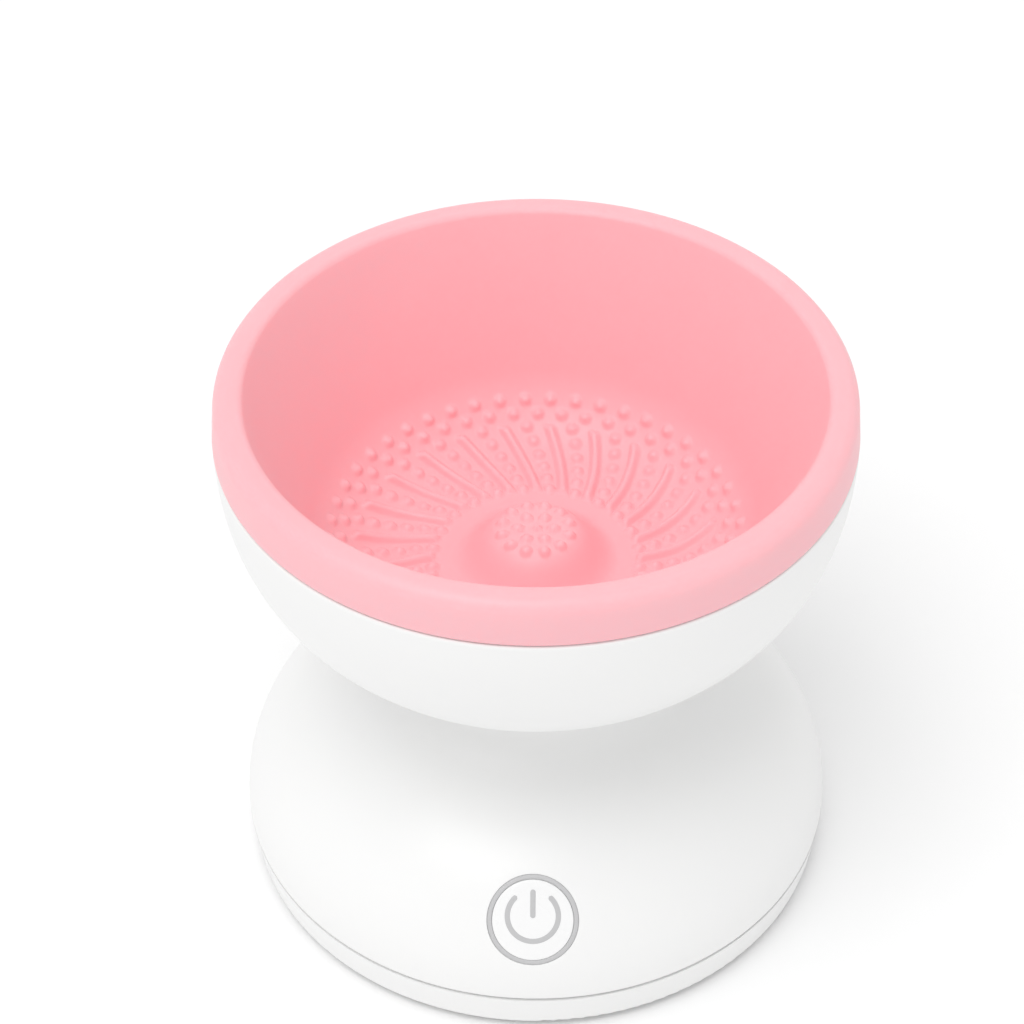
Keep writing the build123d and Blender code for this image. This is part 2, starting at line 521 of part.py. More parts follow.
with BuildPart() as gear_chassis:
    with BuildSketch(Plane.XY.offset(CHASSIS_Z)):
        Circle(CHASSIS_RADIUS)
        with Locations((0, -CHASSIS_FRONT - CHASSIS_RADIUS)):
            Rectangle(2 * CHASSIS_RADIUS, 2 * CHASSIS_RADIUS, mode=Mode.SUBTRACT)
    extrude(amount=CHASSIS_THICK)
    with BuildSketch(Plane.XY.offset(CHASSIS_Z)):
        Circle(LOWER_BOSS_RADIUS)
    extrude(amount=LOWER_BOSS_TOP_Z - CHASSIS_Z)
    with BuildSketch(Plane.XY.offset(lower_bush_z)):
        Circle(LOWER_BUSH_RADIUS)
    extrude(amount=LOWER_BOSS_TOP_Z - CHASSIS_Z, mode=Mode.SUBTRACT)
    with BuildSketch(Plane.XY.offset(CHASSIS_Z)):
        with Locations(*chassis_screw_spots):
            Circle(SCREW[0] + SCREW_CLEARANCE)
        with Locations(*lug_spots):
            Circle(SMALL_SCREW[0] + SMALL_CLEARANCE)
        with Locations(*motor_screw_spots):
            Circle(SMALL_SCREW[0] + SMALL_CLEARANCE)
        with Locations(idler_centre):
            Circle(AXLE_RADIUS)
        with Locations(motor_centre):
            Circle(MOTOR_BOSS_RADIUS)
    extrude(amount=CHASSIS_THICK, mode=Mode.SUBTRACT)
    with Locations(*[(x, y, chassis_top_z) for x, y in motor_screw_spots]):
        CounterSinkHole(
            radius=SMALL_SCREW[0] + SMALL_CLEARANCE,
            counter_sink_radius=SMALL_SCREW[1] + SINK_MARGIN,
            depth=CHASSIS_THICK,
        )
gear_chassis.part.label = "gear_chassis"
export_step(gear_chassis.part, "parts/gear_chassis.step")

with BuildPart() as lower_bush:
    with BuildSketch(Plane.XY.offset(lower_bush_z)):
        Circle(LOWER_BUSH_RADIUS)
        Circle(SHAFT_RADIUS + FIT, mode=Mode.SUBTRACT)
    extrude(amount=LOWER_BOSS_TOP_Z - lower_bush_z)
lower_bush.part.label = "lower_bush"
export_step(lower_bush.part, "parts/lower_bush.step")

chassis_screws = screw(Plane.XY.offset(CHASSIS_Z), chassis_screw_spots, CHASSIS_SCREW_LENGTH, SCREW)
chassis_screws.part.label = "chassis_screws"
export_step(chassis_screws.part, "parts/chassis_screws.step")

with BuildPart() as gearbox_cover:
    with BuildSketch(Plane.XY.offset(chassis_top_z)):
        for ring_radius, centre in gearbox_rings:
            with Locations(centre):
                Circle(ring_radius + GEARBOX_WALL)
        make_hull()
        with Locations(*lug_spots):
            Circle(LUG_RADIUS)
    extrude(amount=GEARBOX_TOP_Z - chassis_top_z)
    with BuildSketch(Plane.XY.offset(chassis_top_z)):
        for ring_radius, centre in gearbox_rings:
            with Locations(centre):
                Circle(ring_radius)
        make_hull()
    extrude(amount=gearbox_ceiling_z - chassis_top_z, mode=Mode.SUBTRACT)
    with BuildSketch(Plane.XY.offset(chassis_top_z)):
        with Locations(*lug_spots):
            Circle(SMALL_SCREW[0])
    extrude(amount=LUG_PILOT, mode=Mode.SUBTRACT)
    with BuildSketch(Plane.XY.offset(GEARBOX_TOP_Z - GEARBOX_WALL)):
        Circle(SHAFT_RADIUS + COVER_HOLE_MARGIN)
        with Locations(idler_centre):
            Circle(AXLE_RADIUS)
    extrude(amount=GEARBOX_WALL, mode=Mode.SUBTRACT)
gearbox_cover.part.label = "gearbox_cover"
export_step(gearbox_cover.part, "parts/gearbox_cover.step")

gearbox_screws = screw(Plane.XY.offset(CHASSIS_Z), lug_spots, GEARBOX_SCREW_LENGTH, SMALL_SCREW)
gearbox_screws.part.label = "gearbox_screws"
export_step(gearbox_screws.part, "parts/gearbox_screws.step")

with BuildPart() as idler_axle:
    with BuildSketch(Plane.XY.offset(CHASSIS_Z)):
        with Locations(idler_centre):
            Circle(AXLE_RADIUS)
    extrude(amount=GEARBOX_TOP_Z - CHASSIS_Z)
idler_axle.part.label = "idler_axle"
export_step(idler_axle.part, "parts/idler_axle.step")

# ---------------------------------------------------------------- gears
PINION_OVERLAP = 0.3  # how far a pinion runs past the wheel it drives
COLLAR_THICK = 0.5  # output gear's collar, and the washer under the gear
RECESS_OUTER, RECESS_INNER, RECESS_DEPTH = 11.6, 6.4, 1.2  # ring sunk in the output gear

with BuildPart() as idler_gear:
    with BuildSketch(Plane.XY.offset(WHEEL_Z)):
        with BuildLine():
            wheel = gear_outline(FIRST_MODULE, WHEEL_TEETH, idler_centre, MOTOR_BEARING)
            Polyline(*wheel, close=True)
        make_face()
    extrude(amount=WHEEL_THICK)
    with BuildSketch(Plane.XY.offset(WHEEL_Z + WHEEL_THICK)):
        with BuildLine():
            gap_turn = IDLER_BEARING + 180 + 180 / IDLER_PINION_TEETH
            pinion = gear_outline(SECOND_MODULE, IDLER_PINION_TEETH, idler_centre, gap_turn)
            Polyline(*pinion, close=True)
        make_face()
    extrude(amount=output_top_z + PINION_OVERLAP - WHEEL_Z - WHEEL_THICK)
    with BuildSketch(Plane.XY.offset(WHEEL_Z)):
        with Locations(idler_centre):
            Circle(AXLE_RADIUS + FIT)
    extrude(amount=GEARBOX_TOP_Z - WHEEL_Z, mode=Mode.SUBTRACT)
idler_gear.part.label = "idler_gear"
export_step(idler_gear.part, "parts/idler_gear.step")

with BuildPart() as output_gear:
    with BuildSketch(Plane.XY.offset(OUTPUT_Z)):
        with BuildLine():
            Polyline(*gear_outline(SECOND_MODULE, OUTPUT_TEETH, (0.0, 0.0), 0.0), close=True)
        make_face()
        Circle(SHAFT_RADIUS, mode=Mode.SUBTRACT)
    extrude(amount=OUTPUT_THICK)
    with BuildSketch(Plane.XY.offset(output_top_z)):
        Circle(2 * SHAFT_RADIUS)
        Circle(SHAFT_RADIUS, mode=Mode.SUBTRACT)
    extrude(amount=COLLAR_THICK)
    with BuildSketch(Plane.XY.offset(output_top_z - RECESS_DEPTH)):
        Circle(RECESS_OUTER)
        Circle(RECESS_INNER, mode=Mode.SUBTRACT)
    extrude(amount=RECESS_DEPTH, mode=Mode.SUBTRACT)
output_gear.part.label = "output_gear"
export_step(output_gear.part, "parts/output_gear.step")

with BuildPart() as thrust_washer:
    with BuildSketch(Plane.XY.offset(OUTPUT_Z)):
        Circle(2 * SHAFT_RADIUS)
        Circle(SHAFT_RADIUS, mode=Mode.SUBTRACT)
    extrude(amount=-COLLAR_THICK)
thrust_washer.part.label = "thrust_washer"
export_step(thrust_washer.part, "parts/thrust_washer.step")

# ---------------------------------------------------------------- drive shaft, bushes and seal
CLIP_Z, CLIP_THICK, CLIP_GROOVE, CLIP_RADIUS = 52.5, 0.7, 2.1, 4.4
CLIP_MOUTH = 3.36
SHAFT_CHAMFER, DOG_CHAMFER = 0.3, 0.5
SEAL_HEEL_RADIUS, SEAL_GROOVE_OUTER, SEAL_GROOVE_INNER, SEAL_LIP_RADIUS = 5.4, 4.4, 3.6, 3.1
SEAL_GROOVE_Z, SEAL_LIP_Z = 63.4, 64.7

with BuildPart() as drive_shaft:
    with BuildSketch(Plane.XY.offset(SHAFT_BOTTOM_Z)):
        Circle(SHAFT_RADIUS)
    extrude(amount=SHAFT_TOP_Z - SHAFT_BOTTOM_Z)
    chamfer(drive_shaft.edges().filter_by(GeomType.CIRCLE), SHAFT_CHAMFER)
    with BuildSketch(Plane.XY.offset(CLIP_Z)):
        Circle(SHAFT_RADIUS)
        Circle(CLIP_GROOVE, mode=Mode.SUBTRACT)
    extrude(amount=CLIP_THICK, mode=Mode.SUBTRACT)
drive_shaft.part.label = "drive_shaft"
export_step(drive_shaft.part, "parts/drive_shaft.step")

with BuildPart() as shaft_clip:
    with BuildSketch(Plane.XY.offset(CLIP_Z)):
        Circle(CLIP_RADIUS)
        Circle(CLIP_GROOVE, mode=Mode.SUBTRACT)
        with Locations((0, CLIP_RADIUS)):
            Rectangle(CLIP_MOUTH, 2 * CLIP_RADIUS, mode=Mode.SUBTRACT)
    extrude(amount=CLIP_THICK)
shaft_clip.part.label = "shaft_clip"
export_step(shaft_clip.part, "parts/shaft_clip.step")

with BuildPart() as upper_bush:
    with BuildSketch(Plane.XY.offset(UPPER_BUSH_Z)):
        Circle(BUSH_RADIUS)
    extrude(amount=UPPER_BUSH_TOP_Z - UPPER_BUSH_Z)
    with BuildSketch(Plane.XY.offset(UPPER_BUSH_TOP_Z)):
        Circle(BUSH_FLANGE_RADIUS)
    extrude(amount=-BUSH_FLANGE_THICK)
    with BuildSketch(Plane.XY.offset(UPPER_BUSH_Z)):
        Circle(SHAFT_RADIUS + FIT)
    extrude(amount=UPPER_BUSH_TOP_Z - UPPER_BUSH_Z, mode=Mode.SUBTRACT)
upper_bush.part.label = "upper_bush"
export_step(upper_bush.part, "parts/upper_bush.step")

with BuildPart() as shaft_seal:
    with BuildSketch(Plane.XZ):
        with BuildLine():
            Polyline(
                (SHAFT_RADIUS + FIT, UPPER_BUSH_TOP_Z),
                (SEAL_RADIUS, UPPER_BUSH_TOP_Z),
                (SEAL_RADIUS, SEAL_TOP_Z),
                (SEAL_HEEL_RADIUS, SEAL_TOP_Z),
                (SEAL_GROOVE_OUTER, SEAL_GROOVE_Z),
                (SEAL_GROOVE_INNER, SEAL_GROOVE_Z),
                (SEAL_LIP_RADIUS, SEAL_LIP_Z),
                (SHAFT_RADIUS + FIT, SEAL_LIP_Z),
                close=True,
            )
        make_face()
    revolve(axis=Axis.Z)
shaft_seal.part.label = "shaft_seal"
export_step(shaft_seal.part, "parts/shaft_seal.step")

with BuildPart() as drive_dog:
    with BuildSketch(Plane.XY.offset(DOG_BOTTOM_Z)):
        RegularPolygon(DOG_ACROSS_FLATS / 2, 6, major_radius=False)
    extrude(amount=DOG_TOP_Z - DOG_BOTTOM_Z)
    chamfer(drive_dog.edges().group_by(Axis.Z)[-1], DOG_CHAMFER)
    with BuildSketch(Plane.XY.offset(DOG_BOTTOM_Z)):
        Circle(SHAFT_RADIUS)
    extrude(amount=SHAFT_TOP_Z - DOG_BOTTOM_Z, mode=Mode.SUBTRACT)
drive_dog.part.label = "drive_dog"
export_step(drive_dog.part, "parts/drive_dog.step")

# ---------------------------------------------------------------- motor
MOTOR_CAP_THICK, MAGNET_THICK, ARMATURE_RADIUS = 2.0, 2.2, 8.6
ARMATURE_Z, ARMATURE_HEIGHT, COMMUTATOR_RADIUS = 10.6, 8.6, 2.6
CAN_ROUND, CAP_BOSS_HEIGHT, CAP_BOSS_FLOOR = 0.8, 1.6, 0.8
MAGNET_OVERLAP, MAGNET_GAP = 0.6, 6.0  # past each end of the armature, and between the magnets
TERMINAL_BEARINGS = (110.0, 62.0)
TERMINAL_REACH, TERMINAL_LENGTH, TERMINAL_WIDTH, TERMINAL_THICK = 11.6, 6.2, 2.0, 0.5
BRUSH_REACH, BRUSH_LENGTH, BRUSH_THICK, BRUSH_HEIGHT = 3.1, 9.0, 0.4, 1.6
ROTOR_SHAFT_Z, ROTOR_SHAFT_TOP_Z = 5.7, 28.2
POLES, SLOT_REACH, SLOT_DEPTH, SLOT_WIDTH, SLOT_MOUTH = 3, 5.2, 3.6, 8.0, (4.0, 1.0)
COIL_DEPTH, COIL_WIDTH, COIL_OVERHANG = 3.4, 7.0, 0.4
COMMUTATOR_GAP = 0.3
MOTOR_HEAD_SINK, MOTOR_HEAD_HEIGHT, MOTOR_SHANK_SINK = 0.5, 0.9, 0.7
can_inner_r = MOTOR_RADIUS - MOTOR_SKIN
motor_cap_top_z = MOTOR_BOTTOM_Z + MOTOR_CAP_THICK

with BuildPart() as motor_can:
    with BuildSketch(Plane.XY.offset(MOTOR_BOTTOM_Z)):
        with Locations(motor_centre):
            Circle(MOTOR_RADIUS)
    extrude(amount=CHASSIS_Z - MOTOR_BOTTOM_Z)
    fillet(motor_can.edges().group_by(Axis.Z)[-1], CAN_ROUND)
    with BuildSketch(Plane.XY.offset(CHASSIS_Z)):
        with Locations(motor_centre):
            Circle(MOTOR_BOSS_RADIUS)
    extrude(amount=MOTOR_BOSS_HEIGHT)
    with BuildSketch(Plane.XY.offset(MOTOR_BOTTOM_Z)):
        with Locations(motor_centre):
            Circle(can_inner_r)
    extrude(amount=CHASSIS_Z - MOTOR_SKIN - MOTOR_BOTTOM_Z, mode=Mode.SUBTRACT)
    with BuildSketch(Plane.XY.offset(MOTOR_BOTTOM_Z)):
        with Locations(motor_centre):
            Circle(MOTOR_SHAFT_RADIUS + FIT)
        with Locations(*motor_screw_spots):
            Circle(SMALL_SCREW[0])
    extrude(amount=CHASSIS_Z + MOTOR_BOSS_HEIGHT - MOTOR_BOTTOM_Z, mode=Mode.SUBTRACT)
motor_can.part.label = "motor_can"
export_step(motor_can.part, "parts/motor_can.step")

with BuildPart() as motor_end_cap:
    with BuildSketch(Plane.XY.offset(MOTOR_BOTTOM_Z)):
        with Locations(motor_centre):
            Circle(can_inner_r)
    extrude(amount=MOTOR_CAP_THICK)
    with BuildSketch(Plane.XY.offset(MOTOR_BOTTOM_Z)):
        with Locations(motor_centre):
            Circle(MOTOR_BOSS_RADIUS)
    extrude(amount=-CAP_BOSS_HEIGHT)
    with BuildSketch(Plane.XY.offset(MOTOR_BOTTOM_Z - CAP_BOSS_FLOOR)):
        with Locations(motor_centre):
            Circle(MOTOR_SHAFT_RADIUS + FIT)
    extrude(amount=MOTOR_CAP_THICK + CAP_BOSS_FLOOR, mode=Mode.SUBTRACT)
motor_end_cap.part.label = "motor_end_cap"
export_step(motor_end_cap.part, "parts/motor_end_cap.step")

with BuildPart() as motor_magnets:
    with BuildSketch(Plane.XY.offset(ARMATURE_Z - MAGNET_OVERLAP)):
        with Locations(motor_centre):
            Circle(can_inner_r)
            Circle(can_inner_r - MAGNET_THICK, mode=Mode.SUBTRACT)
            Rectangle(MAGNET_GAP, 2 * MOTOR_RADIUS, mode=Mode.SUBTRACT)
    extrude(amount=ARMATURE_HEIGHT + 2 * MAGNET_OVERLAP)
motor_magnets.part.label = "motor_magnets"
export_step(motor_magnets.part, "parts/motor_magnets.step")

with BuildPart() as motor_terminals:
    with BuildSketch(Plane.XY.offset(MOTOR_BOTTOM_Z)):
        for bearing in TERMINAL_BEARINGS:
            with Locations(Location((*motor_centre, 0), (0, 0, bearing))):
                with Locations((TERMINAL_REACH, 0)):
                    Rectangle(TERMINAL_LENGTH, TERMINAL_WIDTH)
    extrude(amount=-TERMINAL_THICK)
motor_terminals.part.label = "motor_terminals"
export_step(motor_terminals.part, "parts/motor_terminals.step")

with BuildPart() as motor_brushes:
    with BuildSketch(Plane.XY.offset(motor_cap_top_z)):
        with Locations(motor_centre):
            with GridLocations(0, 2 * BRUSH_REACH, 1, 2):
                Rectangle(BRUSH_LENGTH, BRUSH_THICK)
    extrude(amount=BRUSH_HEIGHT)
motor_brushes.part.label = "motor_brushes"
export_step(motor_brushes.part, "parts/motor_brushes.step")

with BuildPart() as motor_shaft:
    with BuildSketch(Plane.XY.offset(ROTOR_SHAFT_Z)):
        with Locations(motor_centre):
            Circle(MOTOR_SHAFT_RADIUS)
    extrude(amount=ROTOR_SHAFT_TOP_Z - ROTOR_SHAFT_Z)
motor_shaft.part.label = "motor_shaft"
export_step(motor_shaft.part, "parts/motor_shaft.step")

with BuildPart() as motor_armature:
    with BuildSketch(Plane.XY.offset(ARMATURE_Z)):
        with Locations(motor_centre):
            Circle(ARMATURE_RADIUS)
            with PolarLocations(0, POLES):
                with Locations((SLOT_REACH, 0)):
                    Rectangle(SLOT_DEPTH, SLOT_WIDTH, mode=Mode.SUBTRACT)
                with Locations((ARMATURE_RADIUS, 0)):
                    Rectangle(*SLOT_MOUTH, mode=Mode.SUBTRACT)
            Circle(MOTOR_SHAFT_RADIUS, mode=Mode.SUBTRACT)
    extrude(amount=ARMATURE_HEIGHT)
motor_armature.part.label = "motor_armature"
export_step(motor_armature.part, "parts/motor_armature.step")

with BuildPart() as motor_windings:
    with BuildSketch(Plane.XY.offset(ARMATURE_Z - COIL_OVERHANG)):
        with Locations(motor_centre):
            with PolarLocations(0, POLES):
                with Locations((SLOT_REACH, 0)):
                    Rectangle(COIL_DEPTH, COIL_WIDTH)
    extrude(amount=ARMATURE_HEIGHT + 2 * COIL_OVERHANG)
motor_windings.part.label = "motor_windings"
export_step(motor_windings.part, "parts/motor_windings.step")

with BuildPart() as motor_commutator:
    with BuildSketch(Plane.XY.offset(motor_cap_top_z + COMMUTATOR_GAP)):
        with Locations(motor_centre):
            Circle(COMMUTATOR_RADIUS)
            Circle(MOTOR_SHAFT_RADIUS, mode=Mode.SUBTRACT)
    extrude(amount=ARMATURE_Z - COIL_OVERHANG - motor_cap_top_z - COMMUTATOR_GAP)
motor_commutator.part.label = "motor_commutator"
export_step(motor_commutator.part, "parts/motor_commutator.step")

with BuildPart() as motor_pinion:
    with BuildSketch(Plane.XY.offset(WHEEL_Z - PINION_OVERLAP)):
        with BuildLine():
            pinion_turn = MOTOR_BEARING + 180 + 180 / MOTOR_PINION_TEETH
            teeth = gear_outline(FIRST_MODULE, MOTOR_PINION_TEETH, motor_centre, pinion_turn)
            Polyline(*teeth, close=True)
        make_face()
        with Locations(motor_centre):
            Circle(MOTOR_SHAFT_RADIUS, mode=Mode.SUBTRACT)
    extrude(amount=WHEEL_THICK + 2 * PINION_OVERLAP)
motor_pinion.part.label = "motor_pinion"
export_step(motor_pinion.part, "parts/motor_pinion.step")

with BuildPart() as motor_screws:
    with BuildSketch(Plane.XY.offset(CHASSIS_Z - MOTOR_SHANK_SINK)):
        with Locations(*motor_screw_spots):
            Circle(SMALL_SCREW[0])
    extrude(amount=CHASSIS_THICK + MOTOR_SHANK_SINK - MOTOR_HEAD_SINK)
    with Locations(*[(x, y, chassis_top_z - MOTOR_HEAD_SINK) for x, y in motor_screw_spots]):
        Cone(SMALL_SCREW[0], SMALL_SCREW[1], MOTOR_HEAD_HEIGHT)
motor_screws.part.label = "motor_screws"
export_step(motor_screws.part, "parts/motor_screws.step")

# ---------------------------------------------------------------- power button and its switch
FLANGE_DEPTH, BUTTON_FLANGE_THICK, BUTTON_FLANGE_RADIUS = 3.2, 1.0, 8.2
STEM_RADIUS, STEM_END, PLUNGER_RADIUS, PLUNGER_END = 2.0, 6.0, 1.6, 8.6
GASKET_INNER, GASKET_DEPTH, GASKET_THICK = 7.65, 0.3, 1.9
CAP_ROUND, BLANK_RISE = 0.2, 3.0
SWITCH_ROUND, PLUNGER_CLEARANCE, WELL_SPARE = 0.5, 0.3, 0.4
SWITCH_BOARD_HEIGHT, SWITCH_BOARD_ROUND, SWITCH_SCREW_LENGTH = 11.0, 1.0, 6.0

with BuildPart() as cap_blank:
    with BuildSketch(button_plane.offset(-FLANGE_DEPTH)):
        Circle(BUTTON_RADIUS)
    extrude(amount=FLANGE_DEPTH + BLANK_RISE)
    add(dome_blank.part, mode=Mode.INTERSECT)
    cap_face = cap_blank.faces().sort_by(Axis(button_plane.origin, button_plane.z_dir))[-1]
    fillet(cap_face.edges(), CAP_ROUND)

with BuildPart() as symbol_blank:
    with BuildSketch(button_plane.offset(-SYMBOL_DEPTH)):
        with BuildLine():
            CenterArc((0, SYMBOL_LIFT), SYMBOL_RADIUS, 90 + SYMBOL_GAP, 360 - 2 * SYMBOL_GAP)
            offset(amount=SYMBOL_LINE / 2, side=Side.BOTH)
        make_face()
        with Locations((0, SYMBOL_LIFT + BAR_LIFT)):
            SlotOverall(BAR_LENGTH, SYMBOL_LINE, rotation=90)
    extrude(amount=BLANK_RISE)

with BuildPart() as power_button:
    add(cap_blank.part)
    add(symbol_blank.part, mode=Mode.SUBTRACT)
    with BuildSketch(button_plane.offset(-FLANGE_DEPTH - BUTTON_FLANGE_THICK)):
        Circle(BUTTON_FLANGE_RADIUS)
    extrude(amount=BUTTON_FLANGE_THICK)
    with BuildSketch(button_plane.offset(-STEM_END)):
        Circle(STEM_RADIUS)
    extrude(amount=STEM_END - FLANGE_DEPTH)
power_button.part.label = "power_button"
export_step(power_button.part, "parts/power_button.step")

with BuildPart() as power_symbol:
    add(symbol_blank.part)
    add(cap_blank.part, mode=Mode.INTERSECT)
power_symbol.part.label = "power_symbol"
export_step(power_symbol.part, "parts/power_symbol.step")

with BuildPart() as button_gasket:
    with BuildSketch(button_plane.offset(-GASKET_DEPTH - GASKET_THICK)):
        Circle(BUTTON_HOLE_RADIUS)
        Circle(GASKET_INNER, mode=Mode.SUBTRACT)
    extrude(amount=GASKET_THICK)
button_gasket.part.label = "button_gasket"
export_step(button_gasket.part, "parts/button_gasket.step")

with BuildPart() as switch_plunger:
    with BuildSketch(button_plane.offset(-PLUNGER_END)):
        Circle(PLUNGER_RADIUS)
    extrude(amount=PLUNGER_END - STEM_END)
switch_plunger.part.label = "switch_plunger"
export_step(switch_plunger.part, "parts/switch_plunger.step")

with BuildPart() as switch_body:
    with BuildSketch(button_plane.offset(-switch_board_depth)):
        RectangleRounded(SWITCH_SIZE, SWITCH_SIZE, SWITCH_ROUND)
    extrude(amount=SWITCH_HEIGHT)
    with BuildSketch(button_plane.offset(-SWITCH_DEPTH)):
        Circle(PLUNGER_RADIUS + PLUNGER_CLEARANCE)
    extrude(amount=SWITCH_DEPTH - PLUNGER_END - BUTTON_TRAVEL - WELL_SPARE, mode=Mode.SUBTRACT)
switch_body.part.label = "switch_body"
export_step(switch_body.part, "parts/switch_body.step")

with BuildPart() as switch_board:
    with BuildSketch(button_plane.offset(-switch_board_depth - BOARD_THICK)):
        RectangleRounded(
            2 * (POST_REACH + POST_RADIUS), SWITCH_BOARD_HEIGHT, SWITCH_BOARD_ROUND
        )
        with Locations((-POST_REACH, 0), (POST_REACH, 0)):
            Circle(SMALL_SCREW[0] + BOARD_CLEARANCE, mode=Mode.SUBTRACT)
    extrude(amount=BOARD_THICK)
switch_board.part.label = "switch_board"
export_step(switch_board.part, "parts/switch_board.step")

switch_back_plane = button_plane.offset(-switch_board_depth - BOARD_THICK)
switch_screw_spots = [(-POST_REACH, 0), (POST_REACH, 0)]
switch_board_screws = screw(
    switch_back_plane, switch_screw_spots, SWITCH_SCREW_LENGTH, SMALL_SCREW
)
switch_board_screws.part.label = "switch_board_screws"
export_step(switch_board_screws.part, "parts/switch_board_screws.step")

# ---------------------------------------------------------------- control board and socket
BOARD_WIDTH, BOARD_FRONT_Y, BOARD_BACK_Y = 29.0, 31.0, 50.8
TAB_WIDTH, TAB_BACK_Y = 12.0, 53.2
HEADER_WIDTH, HEADER_LENGTH, HEADER_HEIGHT, HEADER_X = 6.0, 4.5, 5.2, 5.2
SOCKET_SKIN, SOCKET_FLOOR, SOCKET_ROUND, MOUTH_ROUND = 0.3, 0.7, 1.55, 1.25
TONGUE_WIDTH, TONGUE_THICK, TONGUE_SETBACK = 6.7, 0.7, 1.0
BOARD_SCREW_LENGTH = 5.5
CHIP_SPOT, CHIP_LENGTH, CHIP_WIDTH, CHIP_STANDOFF, CHIP_THICK = (-5.0, 41.5), 4.9, 3.9, 0.2, 1.4
LEG_PITCH, LEG_SPREAD, LEG_WIDTH, LEG_LENGTH, LEG_THICK = 1.27, 5.2, 0.42, 1.4, 0.5
CAPACITOR_SPOTS, CAPACITOR_RADIUS, CAPACITOR_HEIGHT = ((5.5, 40.0), (7.0, 45.6)), 2.5, 6.0
COMPONENT_ROUND = 0.4
header_front_y = BOARD_FRONT_Y + 0.4
lead_z = board_top_z + HEADER_HEIGHT / 2

with BuildPart() as control_board:
    with BuildSketch(Plane.XY.offset(board_bottom_z)):
        with Locations((0, (BOARD_FRONT_Y + BOARD_BACK_Y) / 2)):
            Rectangle(BOARD_WIDTH, BOARD_BACK_Y - BOARD_FRONT_Y)
        with Locations((0, (BOARD_BACK_Y + TAB_BACK_Y) / 2)):
            Rectangle(TAB_WIDTH, TAB_BACK_Y - BOARD_BACK_Y)
        with Locations(*board_screw_spots):
            Circle(SMALL_SCREW[0] + BOARD_CLEARANCE, mode=Mode.SUBTRACT)
    extrude(amount=BOARD_THICK)
control_board.part.label = "control_board"
export_step(control_board.part, "parts/control_board.step")

board_screw_plane = Plane(origin=(0, 0, board_top_z), x_dir=(1, 0, 0), z_dir=(0, 0, -1))
mirrored_spots = [(x, -y) for x, y in board_screw_spots]
board_screws = screw(board_screw_plane, mirrored_spots, BOARD_SCREW_LENGTH, SMALL_SCREW)
board_screws.part.label = "board_screws"
export_step(board_screws.part, "parts/board_screws.step")

with BuildPart() as usb_socket:
    with BuildSketch(Plane.XZ.offset(-USB_FACE_Y)):
        with Locations((0, USB_Z)):
            RectangleRounded(USB_WIDTH, USB_HEIGHT, SOCKET_ROUND)
    extrude(amount=USB_LENGTH)
    with BuildSketch(Plane.XZ.offset(-USB_FACE_Y)):
        with Locations((0, USB_Z)):
            RectangleRounded(USB_WIDTH - 2 * SOCKET_SKIN, USB_HEIGHT - 2 * SOCKET_SKIN, MOUTH_ROUND)
    extrude(amount=USB_LENGTH - SOCKET_FLOOR, mode=Mode.SUBTRACT)
usb_socket.part.label = "usb_socket"
export_step(usb_socket.part, "parts/usb_socket.step")

with BuildPart() as usb_tongue:
    with BuildSketch(Plane.XZ.offset(USB_LENGTH - SOCKET_FLOOR - USB_FACE_Y)):
        with Locations((0, USB_Z)):
            Rectangle(TONGUE_WIDTH, TONGUE_THICK)
    extrude(amount=-(USB_LENGTH - SOCKET_FLOOR - TONGUE_SETBACK))
usb_tongue.part.label = "usb_tongue"
export_step(usb_tongue.part, "parts/usb_tongue.step")

with BuildPart() as control_chip:
    with BuildSketch(Plane.XY.offset(board_top_z + CHIP_STANDOFF)):
        with Locations(CHIP_SPOT):
            Rectangle(CHIP_LENGTH, CHIP_WIDTH)
    extrude(amount=CHIP_THICK)
    with BuildSketch(Plane.XY.offset(board_top_z)):
        with Locations(CHIP_SPOT):
            with GridLocations(LEG_PITCH, LEG_SPREAD, 4, 2):
                Rectangle(LEG_WIDTH, LEG_LENGTH)
    extrude(amount=LEG_THICK)
control_chip.part.label = "control_chip"
export_step(control_chip.part, "parts/control_chip.step")

with BuildPart() as capacitors:
    with BuildSketch(Plane.XY.offset(board_top_z)):
        with Locations(*CAPACITOR_SPOTS):
            Circle(CAPACITOR_RADIUS)
    extrude(amount=CAPACITOR_HEIGHT)
    fillet(capacitors.edges().group_by(Axis.Z)[-1], COMPONENT_ROUND)
capacitors.part.label = "capacitors"
export_step(capacitors.part, "parts/capacitors.step")

with BuildPart() as wire_headers:
    with BuildSketch(Plane.XY.offset(board_top_z)):
        with Locations(*[(x, header_front_y + HEADER_LENGTH / 2) for x in (-HEADER_X, HEADER_X)]):
            Rectangle(HEADER_WIDTH, HEADER_LENGTH)
    extrude(amount=HEADER_HEIGHT)
    fillet(wire_headers.edges().filter_by(Axis.Z), COMPONENT_ROUND)
wire_headers.part.label = "wire_headers"
export_step(wire_headers.part, "parts/wire_headers.step")

# ---------------------------------------------------------------- leads
LEAD_START, LEAD_CLEAR = 14.7, 18.7  # from the motor's axis: joined to a terminal, free to bend
HEADER_PINS = ((-6.7, -3.7), (6.7, 3.7))  # x of the motor's and the switch's leads in the headers
SWITCH_PADS, SWITCH_LEAD_CLEAR = (4.6, 1.6), 5.0
terminal_z = MOTOR_BOTTOM_Z - TERMINAL_THICK / 2
red_start, black_start = [around(LEAD_START, turn, motor_centre) for turn in TERMINAL_BEARINGS]
red_clear, black_clear = [around(LEAD_CLEAR, turn, motor_centre) for turn in TERMINAL_BEARINGS]

